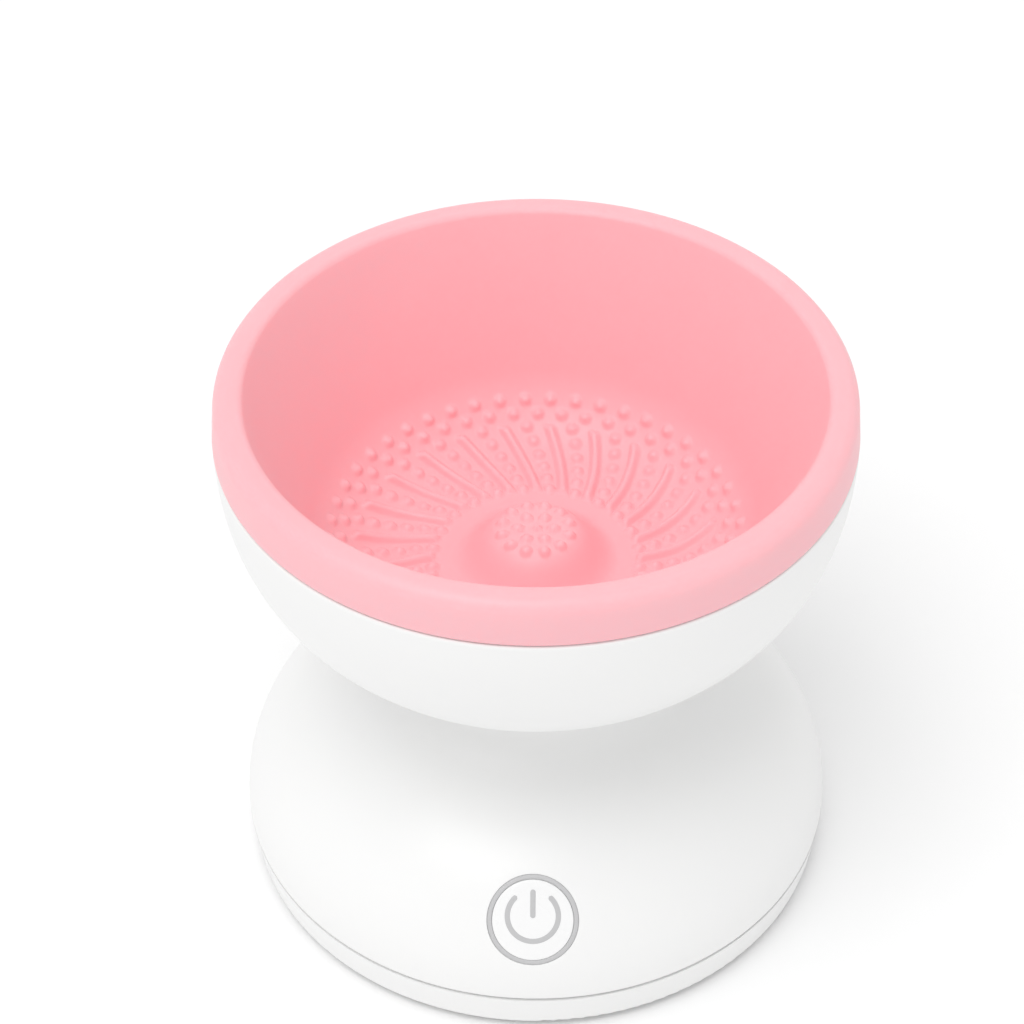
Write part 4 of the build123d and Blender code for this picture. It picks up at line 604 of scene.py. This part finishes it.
# ---- washing cup
@dataclass
class WashingCup:
    """The silicone cup: a lip with a skirt, a leaning wall, and a floor of ribs and nubs.

    The ribs run from rib_start before the wall's corner to rib_end of its radius past its foot,
    with nubs between them, and with rings of nubs in the middle and above them.
    """

    top_z: float = 111.8
    lip_radius: float = 58.0
    lip_inner_radius: float = 52.3
    lip_thick: float = 3.3
    outer_round: float = 2.6
    inner_round: float = 1.6
    rim_radius: float = 58.5
    skirt_z: float = 103.2
    skirt_thick: float = 1.5
    skirt_round: float = 0.3
    skirt_edge: float = 0.05
    skirt_draft: float = 0.3
    lip_lean: float = 3.0
    wall: float = 2.6
    floor_z: float = 69.0
    floor_thick: float = 3.0
    corner_radius: float = 19.0
    lean: float = 20.5
    dome_flat: float = 6.0
    dome_shoulder: float = 10.1
    dome_hollow: float = 11.8
    dome_foot: float = 16.0
    dome_z: float = 76.5
    hub_flange: float = 14.1
    hub_flange_depth: float = 2.05
    hub_boss: float = 8.6
    boss_round: float = 1.0
    boss_z: float = 74.05
    ribs: int = 24
    rib_width: float = 2.3
    rib_height: float = 1.2
    rib_start: float = 4.6
    rib_end: float = 0.62
    rib_fade: float = 1.2
    swirl: float = 0.012
    nub_radius: float = 1.25
    nub_height: float = 0.95
    nub_start: float = 0.6
    nub_pitch: float = 3.1
    centre_nubs: tuple[Ring, ...] = ((0.0, 1, 0.0), (3.4, 6, 0.0), (6.5, 12, 0.5))
    wall_nubs: tuple[Ring, ...] = ((2.4, 48, 0.0), (5.2, 48, 0.5))
    spacing: float = 0.42
    crease: float = 50.0
    segments: int = 576

    def __post_init__(self) -> None:
        """Works out where the wall meets the rounded corner."""
        lean = math.radians(self.lean)
        self.corner_z = self.floor_z + self.corner_radius
        foot_z = self.corner_z - self.corner_radius * math.sin(lean)
        round_z = self.top_z - self.inner_round
        foot_r = self.lip_inner_radius - (round_z - foot_z) * math.tan(lean)
        self.corner_r = foot_r - self.corner_radius * math.cos(lean)

    def inside(self) -> Array:
        """Outline of the wet side, from the middle over the raised centre up to the wall's top."""
        top, low = self.dome_z, self.floor_z
        edge, foot = (self.dome_flat, top), (self.dome_foot, low)
        return chain(
            line((0.0, top), edge, 16),
            bend(edge, (self.dome_shoulder, top), (self.dome_hollow, low), foot, 30),
            line(foot, (self.corner_r, low), 18),
            arc((self.corner_r, self.corner_z), self.corner_radius, -90, -self.lean, 56),
        )

    def outside(self) -> Array:
        """Outline of the lip, the skirt, the outer wall and the pocket for the hub."""
        lean = math.radians(self.lean)
        under_z = self.top_z - self.lip_thick
        inner_z, outer_z = self.top_z - self.inner_round, self.top_z - self.outer_round
        top_r = self.lip_inner_radius - (inner_z - under_z) * math.tan(lean)
        top_r += self.wall / math.cos(lean)
        small, skirt_r = self.skirt_round, self.rim_radius
        skirt_in, round_z = skirt_r - self.skirt_thick, self.skirt_z + small
        bottom_z = self.floor_z - self.floor_thick
        pocket_z = bottom_z + self.hub_flange_depth
        boss_in, boss_low = self.hub_boss - self.boss_round, self.boss_z - self.boss_round
        corner = (self.corner_r, self.corner_z)
        inner_centre = (self.lip_inner_radius + self.inner_round, inner_z)
        outer_centre = (self.lip_radius - self.outer_round, outer_z)
        return chain(
            arc(inner_centre, self.inner_round, 180 - self.lean, 90, 9),
            arc(outer_centre, self.outer_round, 90, self.lip_lean, 8),
            line((skirt_r, round_z + self.skirt_edge), (skirt_r, round_z)),
            arc((skirt_r - small, round_z), small, 0, -90, 4),
            arc((skirt_in + small, round_z), small, -90, -180, 4),
            line((skirt_in - self.skirt_draft, under_z), (top_r, under_z)),
            arc(corner, self.corner_radius + self.wall, -self.lean, -90, 12),
            line((self.hub_flange, bottom_z), (self.hub_flange, pocket_z)),
            line((self.hub_boss, pocket_z), (self.hub_boss, boss_low)),
            arc((boss_in, boss_low), self.boss_round, 0, 90, 4),
            line((boss_in, self.boss_z), (0.0, self.boss_z)),
        )

    def relief(self, run: Array, r: Array, bearings: Array) -> Array:
        """Height of the ribs and nubs over the wet side.

        A rib is rib_height (1 - (d / half width) ** 2) for a distance d from its middle line, which
        swings round by swirl for each millimetre of run, and it fades out at both ends.
        A nub is nub_height (1 - (d / nub_radius) ** 2) for a distance d from its middle.

        Args:
            run: distance along the outline, one for each row.
            r: radius, one for each row.
            bearings: bearings of the columns.

        Returns:
            Heights with a row and a column number.
        """
        corner_run = float(np.interp(self.corner_r, r, run))
        first = corner_run - self.rib_start
        last = corner_run + self.rib_end * self.corner_radius
        turn = self.swirl * (run - first)[:, None]
        pitch = 2 * np.pi / self.ribs
        off = (bearings - turn + pitch / 2) % pitch - pitch / 2
        across = np.abs(off) * r[:, None] / (self.rib_width / 2)
        ends = np.clip(np.minimum(run - first, last - run) / self.rib_fade, 0, 1)[:, None]
        height = self.rib_height * np.clip(1 - across**2, 0, 1) * np.sqrt(ends * (2 - ends))
        between = first + np.arange(self.nub_start, last - first, self.nub_pitch)
        swing = self.swirl / pitch
        rings = list(self.centre_nubs)
        rings += [(place, self.ribs, 0.5 + swing * (place - first)) for place in between]
        rings += [(last + place, count, phase) for place, count, phase in self.wall_nubs]
        for place, count, phase in rings:
            step = 2 * np.pi / count
            off = (bearings - phase * step + step / 2) % step - step / 2
            apart = np.hypot(off * r[:, None], (run - place)[:, None]) / self.nub_radius
            height = np.maximum(height, self.nub_height * np.clip(1 - apart**2, 0, 1))
        return height

    def build(self) -> Piece:
        """Builds the cup as one closed skin, with the relief raised square to its wet side."""
        inside = self.inside()
        step = np.linalg.norm(np.diff(inside, axis=0), axis=1)
        run = np.concatenate(([0.0], np.cumsum(step)))
        even = np.linspace(0, run[-1], round(run[-1] / self.spacing))
        inside = np.stack([np.interp(even, run, values) for values in inside.T], 1)
        along = np.gradient(inside, even, axis=0)
        normal = np.stack((-along[:, 1], along[:, 0]), 1)
        normal /= np.linalg.norm(normal, axis=1)[:, None]
        bearings = round_trip(self.segments)
        height = self.relief(even, inside[:, 0], bearings)
        r = inside[:, :1] + normal[:, :1] * height
        z = inside[:, 1:] + normal[:, 1:] * height
        wet = np.stack((r * np.cos(bearings), r * np.sin(bearings), z), 2)
        rest = turned(np.concatenate((inside[-1:], self.outside())), self.segments)
        skin = Skin("silicone_cup").add(wet).add(rest)
        return settle(skin.build(self.crease), "cup", "pink_silicone", "washing_cup")

    def dress(self) -> None:
        """Finishes the cup and the hub moulded into it."""
        paint(self.build(), Surface.PINK_SILICONE)
        paint(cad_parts["cup_hub"], Surface.ACETAL)


# ---- body shells
@dataclass
class BowlShell:
    """The bowl that holds the cup: a hanging curve that narrows into the upper half of the neck."""

    segments: int = 192
    neck_top_z: float = 54.5
    collar_radius: float = 9.0
    collar_top_z: float = 65.5
    collar_bottom_z: float = 53.5
    seal_radius: float = 6.5
    seal_z: float = 62.0
    flange_radius: float = 6.0
    flange_z: float = 61.0
    bush_radius: float = 4.5
    edge: float = 0.5
    collar_bevel: float = 0.4
    floor_bevel: float = 0.8
    curve: tuple[float, float, int] = (0.02, 0.94, 56)

    def outline(self) -> Array:
        """Closed outline: outside from rim to neck, joint face, collar, floor and inside wall."""
        drops = np.linspace(*self.curve)
        outer = BOWL.outline(drops)
        inner = BOWL.outline(drops, WALL)[::-1]
        floor_z = inner[0, 1]
        under_z = floor_z - WALL
        neck_in = NECK_RADIUS - WALL
        rim_in = BOWL.radius - WALL
        neck_top = np.array([NECK_RADIUS, self.neck_top_z])
        pulls = (outer[-1] + BODY_PULL * heading(outer), neck_top + (0, NECK_PULL))
        collar, top_z, bevel = self.collar_radius, self.collar_top_z, self.floor_bevel
        return chain(
            arc((rim_in + self.edge, BOWL.rim_z - self.edge), self.edge, 180, 90, 5),
            arc((BOWL.radius - self.edge, BOWL.rim_z - self.edge), self.edge, 90, 0, 5),
            outer,
            bend(outer[-1], *pulls, neck_top, 22)[1:],
            line((NECK_RADIUS, NECK_Z + JOINT_BEVEL), (NECK_RADIUS - JOINT_BEVEL, NECK_Z)),
            line((neck_in, NECK_Z), (neck_in, under_z)),
            line((collar, under_z), (collar, self.collar_bottom_z)),
            line((self.bush_radius, self.collar_bottom_z), (self.bush_radius, self.flange_z)),
            line((self.flange_radius, self.flange_z), (self.flange_radius, self.seal_z)),
            line((self.seal_radius, self.seal_z), (self.seal_radius, top_z)),
            line((collar - self.collar_bevel, top_z), (collar, top_z - self.collar_bevel)),
            line((collar, floor_z + bevel), (collar + bevel, floor_z)),
            inner,
        )

    def dress(self) -> None:
        """Builds and finishes the bowl."""
        skin = Skin("white_bowl").add(turned(self.outline(), self.segments), close_rows=True)
        paint(settle(skin.build(), "base", "white_abs", "bowl_shell"), Surface.WHITE_ABS)


CIRCLE = 2.0  # exponent of an oval that is an ellipse or a circle
ROUND_STEPS = 6  # rings over the rounding of an opening's mouth
BLEND_RINGS = 5  # rings between the mouth and the window's border


@dataclass(frozen=True)
class Station:
    """One ring round an opening: an oval of half sizes, at a depth under the body or a plane.

    Attributes:
        half_width: half the ring's width.
        half_height: half the ring's height.
        depth: millimetres down from the body's surface, or from the plane where flat.
        flat: whether the ring lies in a plane.
    """

    half_width: float
    half_height: float
    depth: float
    flat: bool = False


@dataclass(frozen=True)
class Opening:
    """A hole in the dome with a rounded mouth, cut out of a window of the dome's own grid.

    Attributes:
        plane: the plane that the hole is square to.
        half_width: half the hole's width at its mouth.
        half_height: half the hole's height at its mouth.
        power: exponent of the oval, CIRCLE for a circle and more for a squarer slot.
        edge: radius of the mouth's rounding.
        deeper: the rings below the mouth.
        middle: the bearing of the window's middle, in columns.
        reach: columns on each side of that.
        rows: first and last row of the window.
    """

    plane: Tilted
    half_width: float
    half_height: float
    power: float
    edge: float
    deeper: tuple[Station, ...]
    middle: int
    reach: int
    rows: tuple[int, int]

    def stations(self) -> list[Station]:
        """The mouth's rounding, a quarter circle into the wall, and the rings below it."""
        turns = np.radians(np.linspace(0, 90, ROUND_STEPS))
        mouth = [(self.edge * (1 - math.sin(t)), self.edge * (1 - math.cos(t))) for t in turns]
        wide, high = self.half_width, self.half_height
        return [Station(wide + out, high + out, depth) for out, depth in mouth] + list(self.deeper)

    def oval(self, station: Station, toward: Array) -> tuple[Array, Array]:
        """Places on a station's oval: (|cos/w| ** p + |sin/h| ** p) ** (-1/p) from its middle."""
        cosine, sine = np.cos(toward), np.sin(toward)
        power = self.power
        size = np.abs(cosine / station.half_width) ** power
        size += np.abs(sine / station.half_height) ** power
        reach = size ** (-1 / power)
        return reach * cosine, reach * sine

    def border(self, grid: Array) -> Array:
        """The window's border in a grid, once round, as points."""
        first, last = self.rows
        columns = np.arange(self.middle - self.reach, self.middle + self.reach + 1) % grid.shape[1]
        window = grid[first : last + 1][:, columns]
        sides = (window[0, :-1], window[:-1, -1], window[-1, :0:-1], window[:0:-1, 0])
        return np.concatenate(sides)

    def strip(self, outer: Array, inner: Array) -> Array:
        """Rings from the window's border on the outside, through the hole, to that on the inside.

        Args:
            outer: grid of the dome's outside.
            inner: grid of its inside, with the same rows and columns.

        Returns:
            Points with a row for each ring.
        """
        plane, border = self.plane, self.border(outer)
        offset = border - plane.origin
        a, b = offset @ plane.across, offset @ plane.up
        toward = np.arctan2(b, a)
        stations = self.stations()
        mouth_a, mouth_b = self.oval(stations[0], toward)
        rings = [border]
        for share in np.linspace(0, 1, BLEND_RINGS + 2)[1:-1]:
            ring_a, ring_b = a + share * (mouth_a - a), b + share * (mouth_b - b)
            rings.append(plane.lift(ring_a, ring_b, plane.height_on(DOME, ring_a, ring_b)))
        for station in stations:
            ring_a, ring_b = self.oval(station, toward)
            under = np.zeros_like(ring_a) if station.flat else plane.height_on(DOME, ring_a, ring_b)
            rings.append(plane.lift(ring_a, ring_b, under - station.depth))
        rings.append(self.border(inner))
        return np.stack(rings)


@dataclass
class BaseCover:
    """The dome of the base: a rising curve with the button's hole and the socket's recess.

    A window of the grid makes room for each: two shares of the dome's height, and the columns to
    each side of the opening's middle.
    """

    segments: int = 192
    bottom_z: float = 9.6
    edge: float = 0.4
    neck_low_z: float = 48.5
    spigot_outer: float = 20.7
    spigot_inner: float = 19.0
    spigot_z: float = 54.0
    hole_radius: float = 11.5
    button_hole: float = 8.6
    guide_depth: float = 6.0
    button_edge: float = 0.12
    button_window: Window = (0.2, 0.77, 7)
    recess: tuple[float, float] = (6.3, 3.2)
    recess_power: float = 3.6
    recess_edge: float = 0.25
    recess_y: float = 56.4
    recess_window: Window = (0.026, 0.31, 5)
    slot: tuple[float, float] = (4.72, 1.88)
    slot_depth: float = 2.0
    inner_pulls: tuple[float, float] = (3.2, 4.0)
    foot_inset: float = 0.01
    curve: tuple[float, float, int] = (0.026, 0.86, 54)

    def __post_init__(self) -> None:
        """Sets the rows of the curved part, as shares of the dome's height."""
        self.drops = np.linspace(*self.curve)

    def rows(self, window: Window) -> tuple[int, int]:
        """First and last row of a window, from its two shares of the dome's height."""
        first, last = (int(np.argmin(abs(self.drops - drop))) for drop in window[:2])
        return first, last

    def openings(self) -> tuple[Opening, Opening]:
        """The button's round hole at the front and the socket's recess at the rear."""
        quarter = self.segments // 4
        rear = socket_plane()
        floor = rear.origin[1] - self.recess_y
        below = (
            Station(*self.recess, floor, True),
            Station(*self.slot, floor, True),
            Station(*self.slot, floor + self.slot_depth, True),
        )
        guide = (Station(self.button_hole, self.button_hole, self.guide_depth, True),)
        return (
            Opening(
                button_plane(), self.button_hole, self.button_hole, CIRCLE, self.button_edge, guide,
                3 * quarter, self.button_window[2], self.rows(self.button_window),
            ),
            Opening(
                rear, *self.recess, self.recess_power, self.recess_edge, below,
                quarter, self.recess_window[2], self.rows(self.recess_window),
            ),
        )

    def dress(self) -> None:
        """Builds and finishes the dome: the turned loop without its windows, then each window."""
        outer = DOME.outline(self.drops)
        inner = DOME.outline(self.drops, WALL)[::-1]
        neck_in = NECK_RADIUS - WALL
        flange_z = NECK_Z - WALL
        neck_foot = np.array([NECK_RADIUS, self.neck_low_z])
        inner_foot = np.array([neck_in, self.neck_low_z])
        along = heading(outer)
        neck_pulls = (outer[-1] + BODY_PULL * along, neck_foot - (0, NECK_PULL))
        down, out = self.inner_pulls
        inner_pulls = (inner_foot - (0, down), inner[0] + out * along)
        foot_r = DOME.radius - self.foot_inset - self.edge
        head = arc((foot_r, self.bottom_z + self.edge), self.edge, -90, -5, 5)
        loop = chain(
            head,
            outer,
            bend(outer[-1], *neck_pulls, neck_foot, 20)[1:],
            line((NECK_RADIUS, NECK_Z - JOINT_BEVEL), (NECK_RADIUS - JOINT_BEVEL, NECK_Z)),
            line((self.spigot_outer, NECK_Z), (self.spigot_outer, self.spigot_z)),
            line((self.spigot_inner, self.spigot_z), (self.spigot_inner, NECK_Z)),
            line((self.hole_radius, NECK_Z), (self.hole_radius, flange_z)),
            line((neck_in, flange_z), (neck_in, self.neck_low_z)),
            bend(inner_foot, *inner_pulls, inner[0], 14)[1:],
            inner[1:],
            np.array([[DOME.radius - WALL, self.bottom_z]]),
        )
        grid = turned(loop, self.segments)
        keep = np.ones((len(loop), self.segments), bool)
        count = len(self.drops)
        outer_start = len(head)
        inner_start = len(loop) - count - 1
        outer_grid = grid[outer_start : outer_start + count]
        inner_grid = grid[inner_start : inner_start + count][::-1]
        skin = Skin("white_dome")
        for opening in self.openings():
            first, last = opening.rows
            columns = np.arange(opening.middle - opening.reach, opening.middle + opening.reach)
            keep[outer_start + first : outer_start + last, columns] = False
            inner_last = inner_start + count - 1
            keep[inner_last - last : inner_last - first, columns] = False
            skin.add(opening.strip(outer_grid, inner_grid))
        skin.add(grid, close_rows=True, keep=keep)
        paint(settle(skin.build(), "base", "white_abs", "base_cover"), Surface.WHITE_ABS)
        paint(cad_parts["base_plate"], Surface.WHITE_ABS)


# ---- power button
SWITCH_FINISHES: Finishes = {
    Surface.BLACK_EPOXY: ("switch_plunger", "switch_body"),
    Surface.SOLDER_MASK: ("switch_board",),
    Surface.ZINC_STEEL: ("switch_board_screws",),
    Surface.BLACK_LEAD: ("switch_leads",),
}


@dataclass
class PowerButton:
    """The round button: a dished cap, its grey symbol, the gasket round it and the plunger."""

    radius: float = 7.6
    edge: float = 0.22
    dish: float = 0.22
    skirt: float = 3.2
    flange_radius: float = 8.2
    flange_depth: float = 4.2
    stem_radius: float = 2.0
    stem_depth: float = 6.0
    gasket_inner: float = 7.65
    gasket_outer: float = 8.58
    gasket_depth: float = 0.3
    gasket_thick: float = 1.9
    gasket_crown: float = 0.16
    symbol_radius: float = 4.75
    symbol_line: float = 1.0
    symbol_gap: float = 39.0
    symbol_lift: float = 0.85
    bar: tuple[float, float] = (-0.35, 4.95)
    proud: float = 0.05
    inlay_depth: float = 0.4
    stroke_places: tuple[float, ...] = (-1.0, -0.94, -0.8, 0.0, 0.8, 0.94, 1.0)
    stroke_lifts: tuple[float, ...] = (0.0, 0.7, 1.0, 1.0, 1.0, 0.7, 0.0)
    face_rings: int = 15
    crown_points: int = 11
    arc_points: int = 120
    bar_points: int = 40
    segments: int = 128

    def __post_init__(self) -> None:
        """Finds the button's plane."""
        self.plane = button_plane()

    def face_height(self, a: Array, b: Array) -> Array:
        """Height of the face: the dome's surface, less dish (1 - (r / radius) ** 2)."""
        reach = np.hypot(a, b) / self.radius
        return self.plane.height_on(DOME, a, b) - self.dish * np.clip(1 - reach**2, 0, 1)

    def ring(self, radius: float, depth: float, flat: bool = False) -> Array:
        """One ring of points round the button's axis, under its face or under its plane."""
        turn = round_trip(self.segments)
        a, b = radius * np.cos(turn), radius * np.sin(turn)
        top = np.zeros_like(a) if flat else self.face_height(a, b)
        return self.plane.lift(a, b, top - depth)

    def cap(self) -> Piece:
        """The cap: rings out over the dished face, a quarter round, the skirt, flange and stem."""
        face = np.linspace(0, self.radius - self.edge, self.face_rings)
        rings = [self.ring(r, 0.0) for r in face]
        for turn in np.radians(np.linspace(15, 90, 6)):
            r = self.radius - self.edge * (1 - math.sin(turn))
            rings.append(self.ring(r, self.edge * (1 - math.cos(turn))))
        flange, stem = self.flange_radius, self.stem_radius
        under = (
            (self.radius, self.skirt), (flange, self.skirt), (flange, self.flange_depth),
            (stem, self.flange_depth), (stem, self.stem_depth), (0.0, self.stem_depth),
        )
        rings += [self.ring(r, depth, True) for r, depth in under]
        skin = Skin("button_cap").add(np.stack(rings))
        return settle(skin.build(), "button", "button_abs", "power_button")

    def gasket(self) -> Piece:
        """The gasket: an oblong section with a crowned top, carried round the cap."""
        middle = (self.gasket_inner + self.gasket_outer) / 2
        half = (self.gasket_outer - self.gasket_inner) / 2
        turns = np.radians(np.linspace(0, 180, self.crown_points))
        depth, crown = self.gasket_depth, self.gasket_crown
        rings = [self.ring(middle - half * math.cos(t), depth - crown * math.sin(t)) for t in turns]
        sides = (self.gasket_outer, self.gasket_inner)
        rings += [self.ring(r, depth + self.gasket_thick) for r in sides]
        skin = Skin("button_gasket_ring").add(np.stack(rings), close_rows=True)
        return settle(skin.build(), "base", "gasket_silicone", "button_gasket")

    def stroke(self, skin: Skin, middle: Array, side: Array) -> None:
        """Adds one inlaid stroke with half-round ends.

        The stroke is its middle line, widened each way by half the line's width times
        sqrt(1 - e ** 2), where e runs from 0 to 1 over the last half width before each end.

        Args:
            skin: the symbol's skin.
            middle: rows of a and b along the middle line.
            side: the unit direction across it at each row.
        """
        half = self.symbol_line / 2
        step = np.linalg.norm(np.diff(middle, axis=0), axis=1)
        run = np.concatenate(([0.0], np.cumsum(step)))
        near = np.clip(1 - np.minimum(run, run[-1] - run) / half, 0, 1)
        width = half * np.sqrt(np.clip(1 - near**2, 0, 1))
        lift = self.proud * np.array(self.stroke_lifts)
        offset = width[:, None] * np.array(self.stroke_places)
        place = middle[:, None] + side[:, None] * offset[..., None]
        a, b = place[..., 0], place[..., 1]
        face = self.face_height(a, b)
        top = self.plane.lift(a, b, face + lift)
        bottom = self.plane.lift(a, b, face - self.inlay_depth)[:, ::-1]
        skin.add(np.concatenate((top, bottom), 1))

    def symbol(self) -> Piece:
        """The power symbol: an open ring and an upright bar."""
        skin = Skin("power_symbol_inlay")
        turn = np.linspace(90 + self.symbol_gap, 450 - self.symbol_gap, self.arc_points)
        out = np.stack((np.cos(np.radians(turn)), np.sin(np.radians(turn))), 1)
        self.stroke(skin, self.symbol_radius * out + (0, self.symbol_lift), out)
        low, high = (y + self.symbol_lift for y in self.bar)
        share = (1 - np.cos(np.linspace(0, np.pi, self.bar_points))) / 2
        upright = np.stack((0 * share, low + (high - low) * share), 1)
        self.stroke(skin, upright, np.tile((-1.0, 0.0), (self.bar_points, 1)))
        return settle(skin.build(), "button", "symbol_grey", "power_symbol")

    def dress(self) -> None:
        """Builds and finishes the button's pieces."""
        paint(self.cap(), Surface.BUTTON_ABS)
        paint(self.gasket(), Surface.GREY_SILICONE)
        paint(self.symbol(), Surface.SYMBOL_ABS)
        finish_nodes(SWITCH_FINISHES)


# ---- feet
@dataclass
class Feet:
    """Four moulded pads: a rounded edge, a raised rim and a shallow dish underneath."""

    radius: float = 7.0
    height: float = 2.0
    edge: float = 0.5
    top_bevel: float = 0.3
    rim_width: float = 1.6
    rim_round: float = 0.35
    dish_inset: float = 2.4
    dish_depth: float = 0.45
    circle: float = 44.0
    bearings: tuple[float, ...] = (45.0, 135.0, 225.0, 315.0)
    segments: int = 64

    def dress(self) -> None:
        """Builds the pads, four turned solids in one piece, and finishes the screws under them."""
        r, z, dish_z = self.radius, self.height, self.dish_depth
        outline = chain(
            line((0.0, z), (r - self.top_bevel, z)),
            line((r, z - self.top_bevel), (r, self.edge)),
            arc((r - self.edge, self.edge), self.edge, 0, -90, 7),
            arc((r - self.rim_width, self.rim_round), self.rim_round, -90, -180, 5),
            line((r - self.dish_inset, dish_z), (0.0, dish_z), 6),
        )
        pad = turned(outline, self.segments)
        skin = Skin("rubber_feet")
        for bearing in np.radians(self.bearings):
            skin.add(pad + (self.circle * math.cos(bearing), self.circle * math.sin(bearing), 0))
        paint(settle(skin.build(), "base", "foot_rubber", "foot_pads"), Surface.GREY_RUBBER)
        paint(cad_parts["base_screws"], Surface.ZINC_STEEL)


# ---- inner parts
INNER_FINISHES: Finishes = {
    Surface.ZINC_STEEL: (
        "motor_can", "motor_screws", "neck_screws", "chassis_screws", "gearbox_screws",
        "board_screws",
    ),
    Surface.BRONZE: ("upper_bush", "lower_bush"),
    Surface.NITRILE: ("shaft_seal",),
    Surface.GLASS_NYLON: ("gear_chassis", "gearbox_cover"),
    Surface.GROUND_STEEL: (
        "idler_axle", "drive_shaft", "shaft_clip", "thrust_washer", "motor_shaft"
    ),
    Surface.ACETAL: ("idler_gear", "output_gear", "drive_dog"),
    Surface.NATURAL_NYLON: ("motor_end_cap", "wire_headers"),
    Surface.FERRITE: ("motor_magnets",),
    Surface.BRASS: ("motor_terminals", "motor_brushes", "motor_commutator", "motor_pinion"),
    Surface.LAMINATIONS: ("motor_armature",),
    Surface.WOUND_COPPER: ("motor_windings",),
    Surface.SOLDER_MASK: ("control_board",),
    Surface.SOCKET_STEEL: ("usb_socket",),
    Surface.BLACK_EPOXY: ("usb_tongue", "control_chip"),
    Surface.DRAWN_ALUMINIUM: ("capacitors",),
    Surface.RED_LEAD: ("motor_lead_red",),
    Surface.BLACK_LEAD: ("motor_lead_black",),
}


@dataclass
class Drive:
    """The drive line, motor and electronics, whose CAD shapes stay and take their finishes."""

    finishes: Finishes = field(default_factory=lambda: INNER_FINISHES)

    def dress(self) -> None:
        """Finishes every inner part."""
        finish_nodes(self.finishes)


# ---- studio
@dataclass(frozen=True)
class SoftBox:
    """A square softbox: where it hangs, its side in metres, and its power in watts."""

    name: str
    place: Point
    side: float
    power: float


@dataclass
class Studio:
    """Pale floor, white surroundings, softboxes and the camera.

    The camera's place is in millimetres. The floor, the lamps and their aim are in metres.
    """

    camera_place: Point = (4.14, -391.28, 431.8)
    elevation: float = 41.90
    yaw: float = 1.254
    roll: float = -0.434
    lens: float = 99.15
    sensor: float = 36.0
    clip: float = 0.01
    floor_side: float = 8.0
    surround: float = 0.81
    lamps: tuple[SoftBox, ...] = (SoftBox("key_light", (-0.65, -0.9, 2.75), 1.8, 30.7),)
    aim: Point = (0.0, 0.0, 0.06)

    def build(self) -> None:
        """Sets the camera, lights, surroundings and floor."""
        scene = bpy.context.scene
        scene.view_settings.view_transform = "Standard"
        data = bpy.data.cameras.new("camera")
        data.lens, data.sensor_width, data.clip_start = self.lens, self.sensor, self.clip
        camera = bpy.data.objects.new("camera", data)
        turn = (
            Matrix.Rotation(math.radians(self.yaw), 4, "Z")
            @ Matrix.Rotation(math.radians(90 - self.elevation), 4, "X")
            @ Matrix.Rotation(math.radians(self.roll), 4, "Z")
        )
        camera.matrix_world = Matrix.Translation(Vector(self.camera_place) * MM) @ turn
        scene.collection.objects.link(camera)
        scene.camera = camera
        for lamp in self.lamps:
            light = bpy.data.lights.new(lamp.name, "AREA")
            light.shape, light.size, light.energy = "SQUARE", lamp.side, lamp.power
            holder = bpy.data.objects.new(lamp.name, light)
            holder.location = lamp.place
            aim = Vector(self.aim) - Vector(lamp.place)
            holder.rotation_euler = aim.to_track_quat("-Z", "Y").to_euler()
            scene.collection.objects.link(holder)
        world = bpy.data.worlds.new("surroundings")
        world.use_nodes = True
        background = world.node_tree.nodes["Background"]
        background.inputs["Color"].default_value = linear("ffffff")
        background.inputs["Strength"].default_value = self.surround
        scene.world = world
        self.floor()

    def floor(self) -> None:
        """A flat pale floor, z = 0, with a faint mottle."""
        half = self.floor_side / 2
        mesh = bpy.data.meshes.new("floor")
        corners = [(-half, -half, 0), (half, -half, 0), (half, half, 0), (-half, half, 0)]
        mesh.from_pydata(corners, [], [(0, 1, 2, 3)])
        floor = bpy.data.objects.new("floor", mesh)
        bpy.context.scene.collection.objects.link(floor)
        paint(floor, Surface.PALE_CARD)


def main() -> None:
    """Builds the studio, then each sub-assembly in order."""
    logging.basicConfig(level=logging.INFO, format="%(message)s")
    Studio().build()
    for part in (WashingCup(), BowlShell(), BaseCover(), PowerButton(), Feet(), Drive()):
        part.dress()
        LOG.info("%s done", type(part).__name__)


if __name__ == "__main__":
    main()
